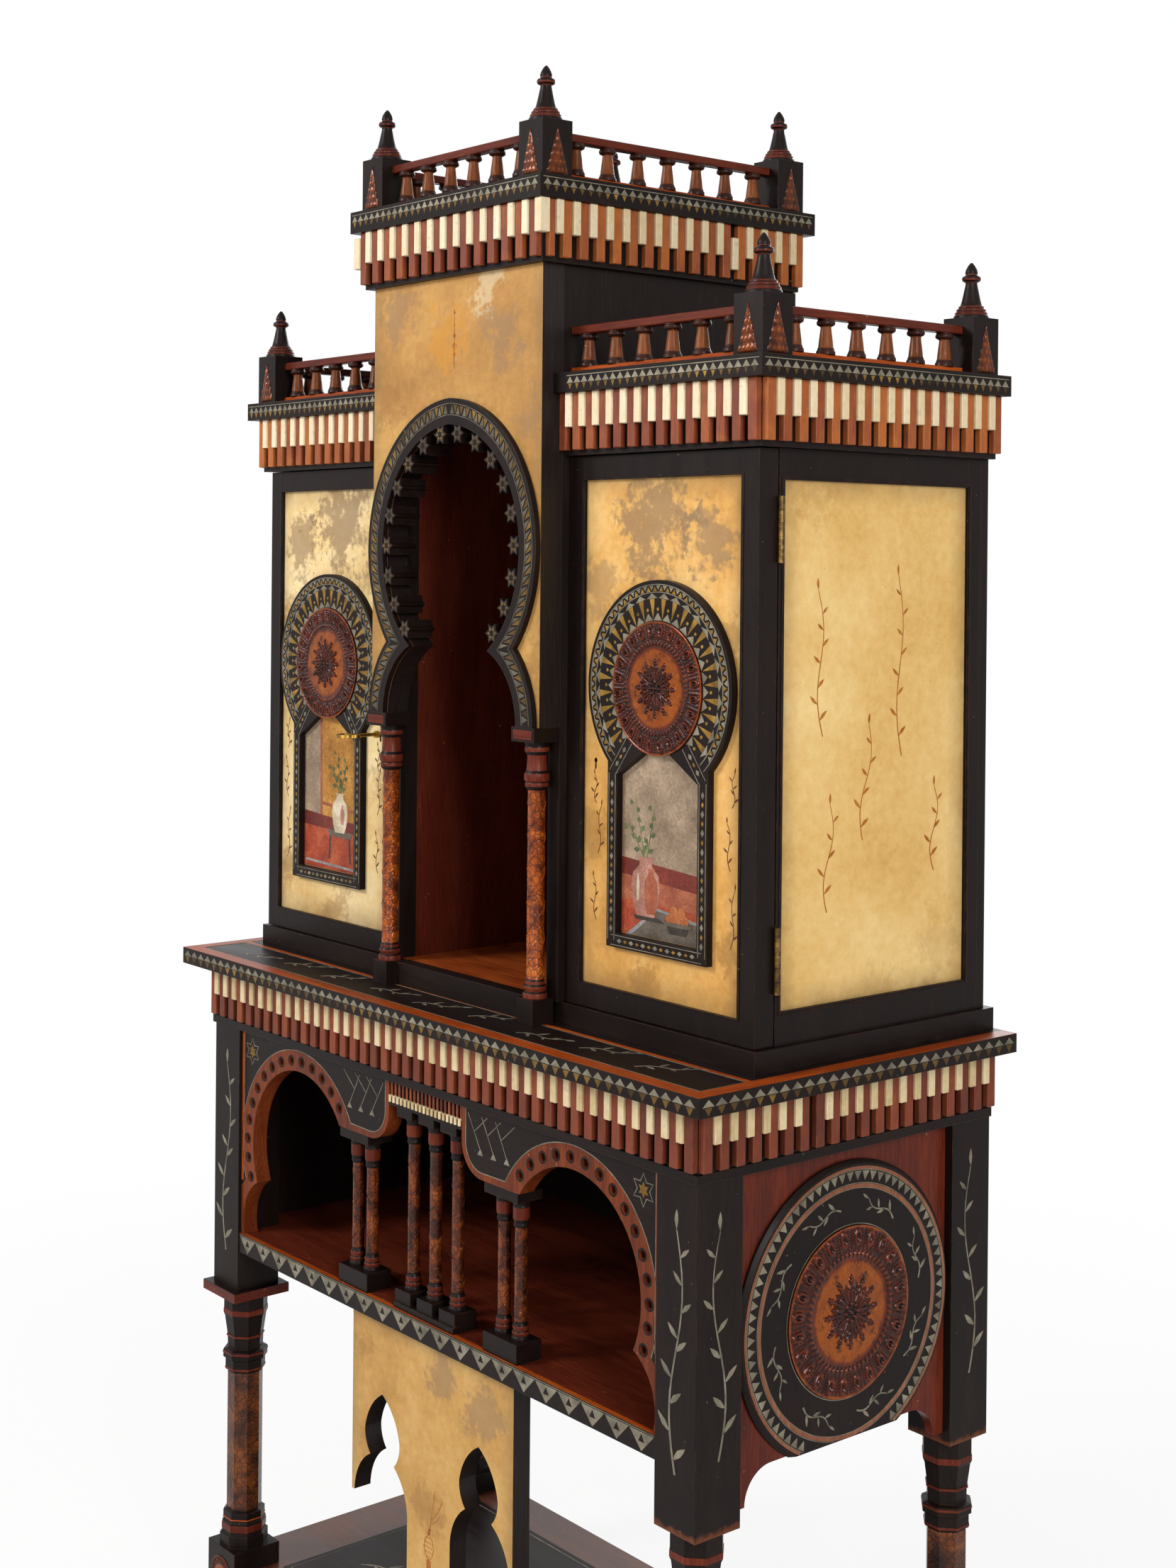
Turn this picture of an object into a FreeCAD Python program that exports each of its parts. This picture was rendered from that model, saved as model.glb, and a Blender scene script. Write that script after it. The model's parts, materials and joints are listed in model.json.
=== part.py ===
import FreeCAD, Part
import Sketcher
import math
import os

# Driving sizes in millimetres. X is to the right, -Y is the front, Z is up, and the
# origin is on the floor under the middle of the table top.
SIZES = {
    # Table top
    "table_width": 1000.0,
    "table_depth": 464.5,
    "table_height": 900.0,
    "table_thickness": 20.3,
    # Stand frame
    "side_overhang": 33.6,
    "front_overhang": 30.75,
    "back_overhang": 4.25,
    "post_side": 60.0,
    "post_drop": 62.4,
    "frieze_height": 75.0,
    "rail_thickness": 18.0,
    "moulding_height": 10.0,
    "moulding_projection": 3.0,
    "collar_height": 12.0,
    "collar_projection": 10.0,
    # Legs and platform
    "leg_radius": 22.0,
    "leg_swell": 6.0,
    "leg_ring": 14.0,
    "leg_step": 2.0,
    "block_side": 66.0,
    "block_top": 132.0,
    "block_bottom": 50.0,
    "foot_radius": 28.0,
    "platform_top": 105.0,
    "platform_thickness": 25.0,
    # Pierced support panel under the shelf
    "support_half_width": 158.0,
    "support_recess": 14.5,
    "support_thickness": 23.0,
    "support_opening_offset": 95.0,
    "support_apex_drop": 91.4,
    "support_bulge_half_width": 36.0,
    "support_bulge_drop": 139.4,
    "support_cusp_half_width": 24.5,
    "support_cusp_drop": 168.4,
    "support_tip_drop": 221.4,
    "support_tip_width": 5.0,
    "support_flare_radius": 62.0,
    "support_bulge_radius": 36.0,
    "support_head_radius": 70.0,
    "support_leg_half_width": 42.0,
    # Shelf compartment of the stand
    "arcade_height": 261.3,
    "shelf_thickness": 24.0,
    "fascia_thickness": 8.0,
    "fascia_recess": 1.5,
    "stand_back_thickness": 12.0,
    "stand_panel_thickness": 12.0,
    "stand_panel_recess": 10.4,
    "haunch_foot_width": 15.5,
    "haunch_radius": 36.0,
    "disc_gap": 0.3,
    "disc_drop": 168.7,
    "disc_thickness": 7.0,
    "disc_bevel": 4.0,
    "side_boss_radius": 88.0,
    "boss_relief": 7.0,
    # Arcade
    "arcade_recess": 4.5,
    "arcade_thickness": 20.0,
    "arch_side_gap": 2.9,
    "arch_crown_gap": 4.5,
    "arch_band": 25.0,
    "arch_foot_drop": 76.7,
    "arch_cusp_drop": 48.7,
    "arch_flare_roundness": 0.76,
    "arch_flare_foot": 8.0,
    "lobe_end": 72.0,
    "lobe_reach": 60.5,
    "lobe_radius": 38.0,
    "lobe_edging": 8.0,
    "band_hole_radius": 4.75,
    "band_hole_low": 5.0,
    "band_hole_high": 26.0,
    "lintel_height": 30.0,
    "lintel_recess": 7.0,
    "bead_height": 10.0,
    "lintel_billet_width": 3.6,
    # Colonnettes
    "colonnette_setback": 17.0,
    "colonnette_radius": 7.0,
    "colonnette_pair_start": 58.0,
    "colonnette_pair_pitch": 30.0,
    "colonnette_triple_pitch": 43.5,
    "colonnette_block_height": 21.6,
    "colonnette_cap_height": 11.0,
    "colonnette_block_margin": 15.0,
    "colonnette_block_depth": 34.0,
    # Billets, the hanging pegs of the friezes
    "red_width": 12.0,
    "red_depth": 8.0,
    "cream_width": 9.6,
    "cream_depth": 10.5,
    "stand_red_length": 63.0,
    "stand_cream_length": 36.0,
    "cornice_red_length": 62.0,
    "cornice_cream_length": 37.0,
    "billet_gap": 0.3,
    "tower_front_billet_gap": 3.4,
    "tower_side_billet_gap": 1.8,
    # Carcase of the cabinet
    "plinth_height": 23.6,
    "plinth_reveal": 6.0,
    "plinth_front": 101.25,
    "plinth_back": 3.25,
    "carcase_inset": 36.0,
    "carcase_front": 134.25,
    "carcase_back": 13.25,
    "carcase_height": 621.7,
    "back_thickness": 12.0,
    "floor_thickness": 16.0,
    "niche_floor_thickness": 3.4,
    "step_depth": 19.0,
    "side_thickness": 20.0,
    "side_front_stile": 8.0,
    "side_back_stile": 32.5,
    "side_bottom_rail": 34.2,
    "side_top_rail": 31.7,
    "side_panel_recess": 4.0,
    "side_panel_thickness": 10.0,
    # Tower and niche
    "tower_width": 327.0,
    "partition_thickness": 20.0,
    "tower_front_gap": 67.25,
    "tower_board_thickness": 29.0,
    "tower_height": 830.8,
    "niche_ceiling_height": 700.0,
    "arch_tip": 692.0,
    "niche_arch_centre": 520.0,
    "niche_arch_shift": 8.6,
    "haunch_arch_radius": 118.0,
    "niche_spring": 325.0,
    "niche_spring_half_width": 160.0,
    "niche_band": 30.0,
    "niche_band_projection": 7.0,
    "star_radius": 12.5,
    "star_inner_radius": 7.2,
    "impost_height": 16.0,
    "impost_width": 40.0,
    "column_offset": 142.0,
    "column_radius": 9.75,
    "column_block_height": 28.0,
    "column_block_width": 28.0,
    "column_base_height": 20.0,
    "column_capital_height": 53.0,
    # Cornices and galleries
    "wing_frieze_height": 67.7,
    "wing_frieze_projection": 10.0,
    "wing_frieze_front": 99.25,
    "wing_slab_height": 22.0,
    "slab_projection": 16.0,
    "slab_back_overhang": 6.0,
    "tower_frieze_height": 67.2,
    "tower_frieze_projection": 8.5,
    "tower_slab_height": 25.6,
    "tower_slab_projection": 13.6,
    "tower_back_reveal": 4.0,
    "tower_slab_back_overhang": 9.5,
    "gallery_post_side": 41.5,
    "gallery_post_height": 62.0,
    "gallery_post_inset": 31.0,
    "bottom_rail_height": 7.4,
    "baluster_height": 36.0,
    "top_rail_height": 9.0,
    "gallery_rail_width": 14.0,
    "baluster_radius": 8.5,
    "finial_height": 60.9,
    "finial_radius": 17.0,
    # Doors
    "door_gap": 1.0,
    "hinge_gap": 2.0,
    "door_thickness": 26.0,
    "door_stile": 26.0,
    "door_panel_recess": 4.0,
    "medallion_height": 375.0,
    "medallion_margin": 6.5,
    "medallion_shift": 4.25,
    "surround_inset": 34.0,
    "surround_bar": 15.0,
    "surround_bottom": 97.0,
    "surround_shoulder": 280.0,
    "surround_thickness": 8.5,
    "window_rise": 30.0,
    "window_head_share": 0.25,
    "door_boss_radius": 70.0,
    # Hinges
    "hinge_length": 67.0,
    "hinge_upper_drop": 81.7,
    "hinge_lower": 110.0,
    "knuckle_radius": 3.5,
    "pin_radius": 1.6,
    "pin_clearance": 0.05,
    "knuckle_clearance": 0.3,
    "leaf_thickness": 0.9,
    "leaf_width": 17.0,
    # Locks and key
    "keyhole_inset": 44.5,
    "keyhole_height": 292.0,
    "lock_inset": 7.5,
    "lock_width": 70.0,
    "lock_height": 70.0,
    "lock_depth": 18.0,
    "lock_wall": 2.5,
    "bolt_height": 13.0,
    "bolt_thickness": 8.0,
    "bolt_length": 40.0,
    "bolt_rise": 14.0,
    "bolt_throw": 9.0,
    "bolt_clearance": 0.3,
    "key_radius": 2.4,
    "key_bit": 9.0,
    "key_reach": 62.0,
    "key_bow_radius": 12.0,
}

document = FreeCAD.newDocument("inlaid_cabinet")
sheet = document.addObject("Spreadsheet::Sheet", "Sizes")
for row, (alias, value) in enumerate(SIZES.items(), 1):
    sheet.set(f"A{row}", alias)
    sheet.set(f"B{row}", str(value))
    sheet.setAlias(f"B{row}", alias)
document.recompute()


class Size:
    """A cell of the sheet, or a sum of cells: its formula and its number."""

    def __init__(self, formula, number):
        self.formula = formula
        self.number = number

    def join(self, sign, other, number):
        return Size(f"({self.formula} {sign} {other.formula})", number)

    def __add__(self, other):
        other = as_size(other)
        return self.join("+", other, self.number + other.number)

    def __sub__(self, other):
        other = as_size(other)
        return self.join("-", other, self.number - other.number)

    def __mul__(self, other):
        other = as_size(other)
        return self.join("*", other, self.number * other.number)

    def __truediv__(self, other):
        other = as_size(other)
        return self.join("/", other, self.number / other.number)

    def __radd__(self, other):
        return as_size(other) + self

    def __rsub__(self, other):
        return as_size(other) - self

    def __rmul__(self, other):
        return as_size(other) * self

    def __neg__(self):
        return as_size(0) - self


def as_size(value):
    if isinstance(value, Size):
        return value
    return Size(repr(float(value)), float(value))


def root(value):
    return Size(f"sqrt({value.formula})", math.sqrt(value.number))


def least(first, second):
    return Size(f"min({first.formula}; {second.formula})", min(first.number, second.number))


def length_between(start, end):
    dx, dz = end[0] - start[0], end[1] - start[1]
    return root(dx * dx + dz * dz)


class Cells:
    """Gives a cell of the sheet by its alias."""

    def __getattr__(self, alias):
        return Size(f"Sizes.{alias}", float(sheet.get(alias)))


cell = Cells()
pieces = []


def bind(thing, target, value):
    thing.setExpression(target, as_size(value).formula)


def place(thing, x, y, z):
    bind(thing, "Placement.Base.x", x)
    bind(thing, "Placement.Base.y", y)
    bind(thing, "Placement.Base.z", z)
    return thing


def piece(thing):
    pieces.append(thing)
    return thing


def box(name, low, high):
    thing = document.addObject("Part::Box", name)
    for side, start, end in zip(("Length", "Width", "Height"), low, high):
        bind(thing, side, as_size(end) - start)
    return place(thing, *low)


def rod(name, base, radius, length, turn=None):
    thing = document.addObject("Part::Cylinder", name)
    bind(thing, "Radius", radius)
    bind(thing, "Height", length)
    if turn:
        thing.Placement.Rotation = turn
    return place(thing, *base)


def group(name, members):
    thing = document.addObject("Part::Compound", name)
    thing.Links = members
    return thing


def fuse(name, members):
    thing = document.addObject("Part::MultiFuse", name)
    thing.Shapes = members
    return thing


def cut(name, base, tools):
    thing = document.addObject("Part::Cut", name)
    thing.Base = base
    thing.Tool = tools[0] if len(tools) == 1 else group(name + "_tools", tools)
    return thing


# Turns that lay a part's own Z axis along another axis
ALONG_X = FreeCAD.Rotation(FreeCAD.Vector(0, 1, 0), 90)
AGAINST_X = FreeCAD.Rotation(FreeCAD.Vector(0, 1, 0), -90)
TO_FRONT = FreeCAD.Rotation(FreeCAD.Vector(1, 0, 0), 90)


def arc_between(start, end, radius, turn):
    """The smaller arc from start to end, turning left (1) or right (-1)."""
    chord = end - start
    across = FreeCAD.Vector(-chord.y, chord.x, 0)
    across.normalize()
    height = math.sqrt(max(radius ** 2 - chord.Length ** 2 / 4, 0))
    centre = (start + end) * 0.5 + across * (turn * height)
    first, last = (start, end) if turn > 0 else (end, start)
    angles = [math.atan2(p.y - centre.y, p.x - centre.x) for p in (first, last)]
    circle = Part.Circle(centre, FreeCAD.Vector(0, 0, 1), radius)
    return Part.ArcOfCircle(circle, angles[0], angles[1])


def draw(sketch, path, holes):
    """Draws a closed path and round holes, every point tied to the sheet.

    A step of the path is (x, y), reached by a line, or (x, y, radius, turn), by an arc.
    """
    corners = [FreeCAD.Vector(as_size(step[0]).number, as_size(step[1]).number, 0) for step in path]
    rules = []
    ends = []
    for index, step in enumerate(path):
        start, end = corners[index - 1], corners[index]
        if len(step) == 2:
            edge = sketch.addGeometry(Part.LineSegment(start, end))
            ends.append((edge, 1, 2))
        else:
            radius, turn = as_size(step[2]), step[3]
            edge = sketch.addGeometry(arc_between(start, end, radius.number, turn))
            ends.append((edge, 1, 2) if turn > 0 else (edge, 2, 1))
            rules.append((Sketcher.Constraint("Radius", edge, radius.number), radius))
    for index, step in enumerate(path):
        edge, first, last = ends[index]
        before = ends[index - 1]
        rules.append((Sketcher.Constraint("Coincident", before[0], before[2], edge, first), None))
        for kind, value in zip(("DistanceX", "DistanceY"), step):
            value = as_size(value)
            rules.append((Sketcher.Constraint(kind, -1, 1, edge, last, value.number), value))
    for x, y, radius in holes:
        centre = FreeCAD.Vector(as_size(x).number, as_size(y).number, 0)
        up = FreeCAD.Vector(0, 0, 1)
        edge = sketch.addGeometry(Part.Circle(centre, up, as_size(radius).number))
        rules.append((Sketcher.Constraint("Radius", edge, as_size(radius).number), as_size(radius)))
        for kind, value in (("DistanceX", as_size(x)), ("DistanceY", as_size(y))):
            rules.append((Sketcher.Constraint(kind, -1, 1, edge, 3, value.number), value))
    sketch.addConstraint([rule for rule, value in rules])
    for index, (rule, value) in enumerate(rules):
        if value:
            sketch.setExpression(f"Constraints[{index}]", value.formula)


def start_body(name, plane, path, holes=()):
    body = document.addObject("PartDesign::Body", name)
    sketch = body.newObject("Sketcher::SketchObject", name + "_outline")
    support = [item for item in body.Origin.OriginFeatures if item.Role == plane][0]
    sketch.AttachmentSupport = [(support, "")]
    sketch.MapMode = "FlatFace"
    draw(sketch, path, holes)
    return body, sketch


def board(name, plane, path, low, high, holes=()):
    """A flat piece cut to an outline, from low to high across its plane."""
    body, sketch = start_body(name, plane, path, holes)
    pad = body.newObject("PartDesign::Pad", name + "_thickness")
    pad.Profile = sketch
    bind(pad, "Length", as_size(high) - low)
    if plane == "XZ_Plane":
        bind(body, "Placement.Base.y", high)
    elif plane == "YZ_Plane":
        bind(body, "Placement.Base.x", low)
    else:
        bind(body, "Placement.Base.z", low)
    return body


def turned(name, profile):
    """A piece turned about its own Z axis, from points of radius and height."""
    path = [(0, profile[0][1])] + profile + [(0, profile[-1][1])]
    body, sketch = start_body(name, "XZ_Plane", path)
    turning = body.newObject("PartDesign::Revolution", name + "_turning")
    turning.Profile = sketch
    turning.ReferenceAxis = (sketch, ["V_Axis"])
    turning.Angle = 360
    return body


def both_halves(half):
    """Adds to the left half of an outline its mirror image, back to the start."""
    path = list(half)
    for index in range(len(half) - 1, -1, -1):
        if abs(as_size(half[index][0]).number) > 0:
            arc = half[index + 1][2:] if index + 1 < len(half) else ()
            path.append((-as_size(half[index][0]), half[index][1]) + tuple(arc))
    return path


def mirrored(path, side):
    """The path itself for side 1, or its mirror image for side -1."""
    return [(as_size(step[0]) * side, step[1]) + tuple(
        part * side if index else part for index, part in enumerate(step[2:])) for step in path]


def copies(name, master, places):
    """Separate copies of one piece, each moved to its own place."""
    document.recompute()
    thing = document.addObject("Part::Feature", name)
    moved = []
    for x, y, z in places:
        shape = master.Shape.copy()
        shape.translate(FreeCAD.Vector(as_size(x).number, as_size(y).number, as_size(z).number))
        moved.append(shape)
    thing.Shape = Part.makeCompound(moved)
    return thing


def spread(first, last, count):
    """Evenly spaced values from first to last."""
    step = (last.number - first.number) / (count - 1)
    return [first.number + step * index for index in range(count)]


SIDES = (("left", -1), ("right", 1))

# Planes that several pieces share
table_front = -cell.table_depth / 2
table_back = cell.table_depth / 2
post_x = cell.table_width / 2 - cell.side_overhang
post_inner_x = post_x - cell.post_side
post_front = table_front + cell.front_overhang
post_back = table_back - cell.back_overhang
post_inner_front = post_front + cell.post_side
post_inner_back = post_back - cell.post_side
frieze_top = cell.table_height - cell.table_thickness
frieze_bottom = frieze_top - cell.frieze_height
shelf_top = frieze_bottom - cell.arcade_height
shelf_bottom = shelf_top - cell.shelf_thickness
arch_foot = frieze_bottom - cell.arch_foot_drop
post_bottom = shelf_bottom - cell.post_drop
leg_x = post_x - cell.post_side / 2
leg_front = post_front + cell.post_side / 2
leg_back = post_back - cell.post_side / 2
leg_places = [(leg_x * side, y, 0) for label, side in SIDES for y in (leg_front, leg_back)]
base = cell.table_height


# Stand frame
def stand_frame():
    piece(box("table_top", (-cell.table_width / 2, table_front, frieze_top),
              (cell.table_width / 2, table_back, cell.table_height)))
    posts = []
    for label, side in SIDES:
        for place_name, low, high in (("front", post_front, post_inner_front),
                                      ("back", post_inner_back, post_back)):
            near, far = (post_inner_x, post_x) if side > 0 else (-post_x, -post_inner_x)
            posts.append(box(f"post_{place_name}_{label}", (near, low, post_bottom),
                             (far, high, frieze_bottom)))
    posts = piece(group("corner_posts", posts))
    collars = []
    for place_name, low, high in (("front", post_front, post_inner_front),
                                  ("back", post_inner_back, post_back)):
        edge = cell.collar_projection
        top = post_bottom + cell.collar_height
        low_edge = low - edge if place_name == "front" else low
        high_edge = high if place_name == "back" else high + edge
        outer = box(f"collar_{place_name}", (-post_x - edge, low_edge, post_bottom),
                    (-post_inner_x + edge, high_edge, top))
        inner = box(f"collar_{place_name}_bore", (-post_x, low, post_bottom),
                    (-post_inner_x, high, top))
        collars.append(cut(f"collar_{place_name}_ring", outer, [inner]))
    piece(group("post_collars", collars))
    rail = cell.rail_thickness
    rails = [
        box("frieze_front", (-post_x, post_front, frieze_bottom), (post_x, post_front + rail, frieze_top)),
        box("frieze_back", (-post_x, post_back - rail, frieze_bottom), (post_x, post_back, frieze_top)),
    ]
    strip = cell.moulding_projection
    strip_top = frieze_bottom + cell.moulding_height
    rails.append(box("moulding_front", (-post_x, post_front - strip, frieze_bottom),
                     (post_x, post_front, strip_top)))
    for label, side in SIDES:
        near, far = (post_x - rail, post_x) if side > 0 else (-post_x, -post_x + rail)
        rails.append(box(f"frieze_{label}", (near, post_front + rail, frieze_bottom),
                         (far, post_back - rail, frieze_top)))
        near, far = (post_x, post_x + strip) if side > 0 else (-post_x - strip, -post_x)
        rails.append(box(f"moulding_{label}", (near, post_front - strip, frieze_bottom),
                         (far, post_back, strip_top)))
    piece(group("frieze_rails", rails))
    return posts


# Legs: faceted shafts with turned rings, a square block and a bun foot
def legs():
    swell = cell.leg_swell
    shaft = cell.leg_radius
    top = post_bottom
    ring, step = cell.leg_ring, cell.leg_step
    # Rings from the block up and from the post down: rise, and swell in shares of leg_swell
    rising = [(0, 1.5), (ring, 1.5), (step, 1), (ring, 1), (step, 0.8), (ring * 0.8, 0.8), (step, 0)]
    falling = [(0, 1), (ring * 2, 1), (step, 0.8), (ring * 1.8, 0.2), (ring * 1.2, 0.1), (step, 1.1),
               (ring * 0.7, 1.1), (step, 0.6), (ring, 0.6), (step, 0)]
    height = cell.block_top
    outline = []
    for rise, share in rising:
        height = height + rise
        outline.append((height, shaft + swell * share))
    upper = []
    height = top
    for drop, share in falling:
        height = height - drop
        upper.append((height, shaft + swell * share))
    outline += upper[::-1]
    rings = []
    for number, (height, radius) in enumerate(outline):
        ring = document.addObject("Part::RegularPolygon", f"leg_section_{number}")
        ring.Polygon = 8
        bind(ring, "Circumradius", radius)
        bind(ring, "Placement.Base.z", height)
        ring.Placement.Rotation = FreeCAD.Rotation(FreeCAD.Vector(0, 0, 1), 22.5)
        rings.append(ring)
    shaft_loft = document.addObject("Part::Loft", "leg_shaft")
    shaft_loft.Sections = rings
    shaft_loft.Solid = True
    shaft_loft.Ruled = True
    half = cell.block_side / 2
    block = box("leg_block", (-half, -half, cell.block_bottom), (half, half, cell.block_top))
    bun = turned("leg_foot", [
        (cell.foot_radius * 0.75, 0),
        (cell.foot_radius, cell.block_bottom * 0.5),
        (cell.foot_radius * 0.9, cell.block_bottom * 0.8),
        (cell.foot_radius * 0.7, cell.block_bottom),
    ])
    leg = fuse("leg", [shaft_loft, block, bun])
    piece(copies("turned_legs", leg, leg_places))
    low_x, high_x = leg_x - half, leg_x + half
    low_y, high_y = leg_front - half, leg_back + half
    bottom = cell.platform_top - cell.platform_thickness
    whole = box("platform_whole", (-high_x, low_y, bottom), (high_x, high_y, cell.platform_top))
    notches = []
    for label, side in SIDES:
        for place_name, y in (("front", leg_front), ("back", leg_back)):
            near, far = (low_x, high_x) if side > 0 else (-high_x, -low_x)
            notches.append(box(f"platform_notch_{place_name}_{label}", (near, y - half, bottom),
                               (far, y + half, cell.platform_top)))
    piece(cut("platform_board", whole, notches))


# Pierced front support between the shelf and the platform
def support():
    top = shelf_bottom
    apex = top - cell.support_apex_drop
    bulge_z = top - cell.support_bulge_drop
    cusp_z = top - cell.support_cusp_drop
    tip_z = top - cell.support_tip_drop
    middle = cell.support_opening_offset
    bulge = cell.support_bulge_half_width
    cusp = cell.support_cusp_half_width
    half = [
        (-cell.support_half_width, top),
        (-cell.support_half_width, tip_z),
        (-cell.support_half_width + cell.support_tip_width, tip_z),
        (-middle - cusp, cusp_z, cell.support_flare_radius, -1),
        (-middle - bulge, bulge_z, cell.support_bulge_radius, -1),
        (-middle, apex, cell.support_head_radius, -1),
        (-middle + bulge, bulge_z, cell.support_head_radius, -1),
        (-middle + cusp, cusp_z, cell.support_bulge_radius, -1),
        (-cell.support_leg_half_width, tip_z, cell.support_flare_radius, -1),
        (-cell.support_leg_half_width, cell.platform_top),
    ]
    front = post_front + cell.support_recess
    piece(board("support_panel", "XZ_Plane", both_halves(half), front, front + cell.support_thickness))


# Shelf, back and side panels of the stand
def stand_panels(posts):
    bottom = shelf_bottom
    shelf_front = post_front + cell.fascia_recess + cell.fascia_thickness
    panel_out = post_x - cell.stand_panel_recess
    panel_in = panel_out - cell.stand_panel_thickness
    back_face = post_back - cell.stand_back_thickness
    whole = box("shelf_whole", (-panel_in, shelf_front, bottom), (panel_in, back_face, shelf_top))
    piece(cut("lower_shelf", whole, [posts]))
    piece(box("shelf_fascia", (-post_inner_x, shelf_front - cell.fascia_thickness, bottom),
              (post_inner_x, shelf_front, shelf_top)))
    piece(box("stand_back", (-post_inner_x, back_face, bottom), (post_inner_x, post_back, frieze_bottom)))
    foot = cell.haunch_foot_width
    arch = cell.haunch_radius
    foot_z = post_bottom + cell.collar_height
    crown = foot_z + arch
    outline = [
        (post_inner_front, frieze_bottom),
        (post_inner_front, foot_z),
        (post_inner_front + foot, foot_z),
        (post_inner_front + foot + arch, crown, arch, -1),
        (post_inner_back - foot - arch, crown),
        (post_inner_back - foot, foot_z, arch, -1),
        (post_inner_back, foot_z),
        (post_inner_back, frieze_bottom),
    ]
    middle = (post_inner_front + post_inner_back) / 2
    disc_z = frieze_bottom - cell.disc_drop
    radius = least((post_inner_back - post_inner_front) / 2, cell.disc_drop) - cell.disc_gap
    thick = cell.disc_thickness
    boss = cell.side_boss_radius
    discs = []
    bosses = []
    for label, side in SIDES:
        near, far = (panel_in, panel_out) if side > 0 else (-panel_out, -panel_in)
        piece(board(f"stand_side_{label}", "YZ_Plane", outline, near, far))
        turn = ALONG_X if side > 0 else AGAINST_X
        disc = turned(f"disc_{label}", [
            (radius, 0), (radius, thick - cell.disc_bevel), (radius - cell.disc_bevel, thick)])
        disc.Placement.Rotation = turn
        place(disc, panel_out * side, middle, disc_z)
        low, high = (panel_out, panel_out + thick) if side > 0 else (-panel_out - thick, -panel_out)
        below = box(f"disc_trim_{label}", (low, middle - radius, least(foot_z, disc_z - radius)),
                    (high, middle + radius, crown))
        discs.append(cut(f"disc_{label}_trimmed", disc, [below]))
        dome = boss_body(f"side_boss_{label}", boss)
        dome.Placement.Rotation = turn
        bosses.append(place(dome, (panel_out + thick) * side, middle, disc_z))
    piece(group("side_discs", discs))
    piece(group("side_bosses", bosses))


def boss_body(name, radius):
    """A beaten metal boss: raised rim, flat ring and domed rosette."""
    relief = cell.boss_relief
    return turned(name, [
        (radius, 0),
        (radius, relief * 0.35),
        (radius * 0.92, relief * 0.75),
        (radius * 0.68, relief * 0.8),
        (radius * 0.62, relief * 0.5),
        (radius * 0.42, relief * 0.55),
        (radius * 0.3, relief),
    ])


# Arcade across the front of the stand compartment
def arcade():
    front = post_front + cell.arcade_recess
    back = front + cell.arcade_thickness
    outer = (post_inner_x - cell.arch_side_gap - cell.lobe_end - cell.lobe_reach) / 2
    inner = outer - cell.arch_band
    cx = post_inner_x - cell.arch_side_gap - outer
    cz = frieze_bottom - cell.arch_crown_gap - outer
    edge = cell.lobe_edging
    lobe = cell.lobe_radius
    foot = arch_foot
    lobe_z = foot + lobe
    lobe_x = cell.lobe_end + lobe
    cusp = cz - cell.arch_cusp_drop
    top = frieze_bottom

    def reach(radius, height):
        return root(radius * radius - (height - cz) * (height - cz))

    outer_foot = cx - reach(outer, foot + edge)
    inner_foot = cx - reach(inner, foot)
    outer_cusp = cx + reach(outer, cusp)
    inner_cusp = cx + reach(inner, cusp)
    shoulder = [
        (cell.lobe_end + edge, top),
        (cell.lobe_end + edge, lobe_z),
        (lobe_x, foot + edge, lobe - edge, 1),
        (outer_foot, foot + edge),
        (cx, cz + outer, outer, -1),
        (cx + outer, cz, outer, -1),
        (outer_cusp, cusp, outer, -1),
        (post_inner_x, cusp - (post_inner_x - outer_cusp)),
    ]
    spandrel = shoulder + [(post_inner_x, top)]
    flare_foot = post_inner_x - cell.arch_flare_foot
    flare = length_between((flare_foot, shelf_top), (inner_cusp, cusp)) * cell.arch_flare_roundness
    band = [(cell.lobe_end, top)] + shoulder + [
        (post_inner_x, shelf_top),
        (flare_foot, shelf_top),
        (inner_cusp, cusp, flare, 1),
        (cx + inner, cz, inner, 1),
        (cx, cz + inner, inner, 1),
        (inner_foot, foot, inner, 1),
        (lobe_x, foot),
        (cell.lobe_end, lobe_z, lobe, -1),
    ]
    middle = inner + cell.arch_band / 2
    low_turn = math.asin((cusp - cz).number / middle.number)
    high_turn = math.pi - math.asin((foot - cz).number / middle.number)
    first_angle = low_turn + (cell.band_hole_low / middle).number
    last_angle = high_turn - (cell.band_hole_high / middle).number
    hole_count = 15
    for label, side in SIDES:
        piece(board(f"arcade_{label}", "XZ_Plane", mirrored(spandrel, side), front, back))
        holes = []
        for number in range(hole_count):
            angle = first_angle + (last_angle - first_angle) * number / (hole_count - 1)
            holes.append(((cx + middle * math.cos(angle)) * side, cz + middle * math.sin(angle),
                          cell.band_hole_radius))
        piece(board(f"arch_band_{label}", "XZ_Plane", mirrored(band, side), front, back, holes))
    lintel(front, back)
    colonnettes(front)


def lintel(front, back):
    """The middle lintel: a board with a beaded strip and a row of small billets."""
    top = frieze_bottom
    bottom = top - cell.lintel_height
    end = cell.lobe_end
    face = front + cell.lintel_recess
    strip_top = bottom + cell.bead_height
    parts = [
        box("lintel_board", (-end, face, strip_top), (end, back, top)),
        box("lintel_bead", (-end, front, bottom), (end, back, strip_top)),
    ]
    width = cell.lintel_billet_width
    count = 19
    master = box("lintel_billet", (-width / 2, front + cell.lintel_recess / 3, strip_top),
                 (width / 2, face, top))
    row = spread(-end + width, end - width, count)
    parts.append(copies("lintel_billets", master, [(x, 0, 0) for x in row]))
    piece(group("arcade_lintel", parts))


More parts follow.
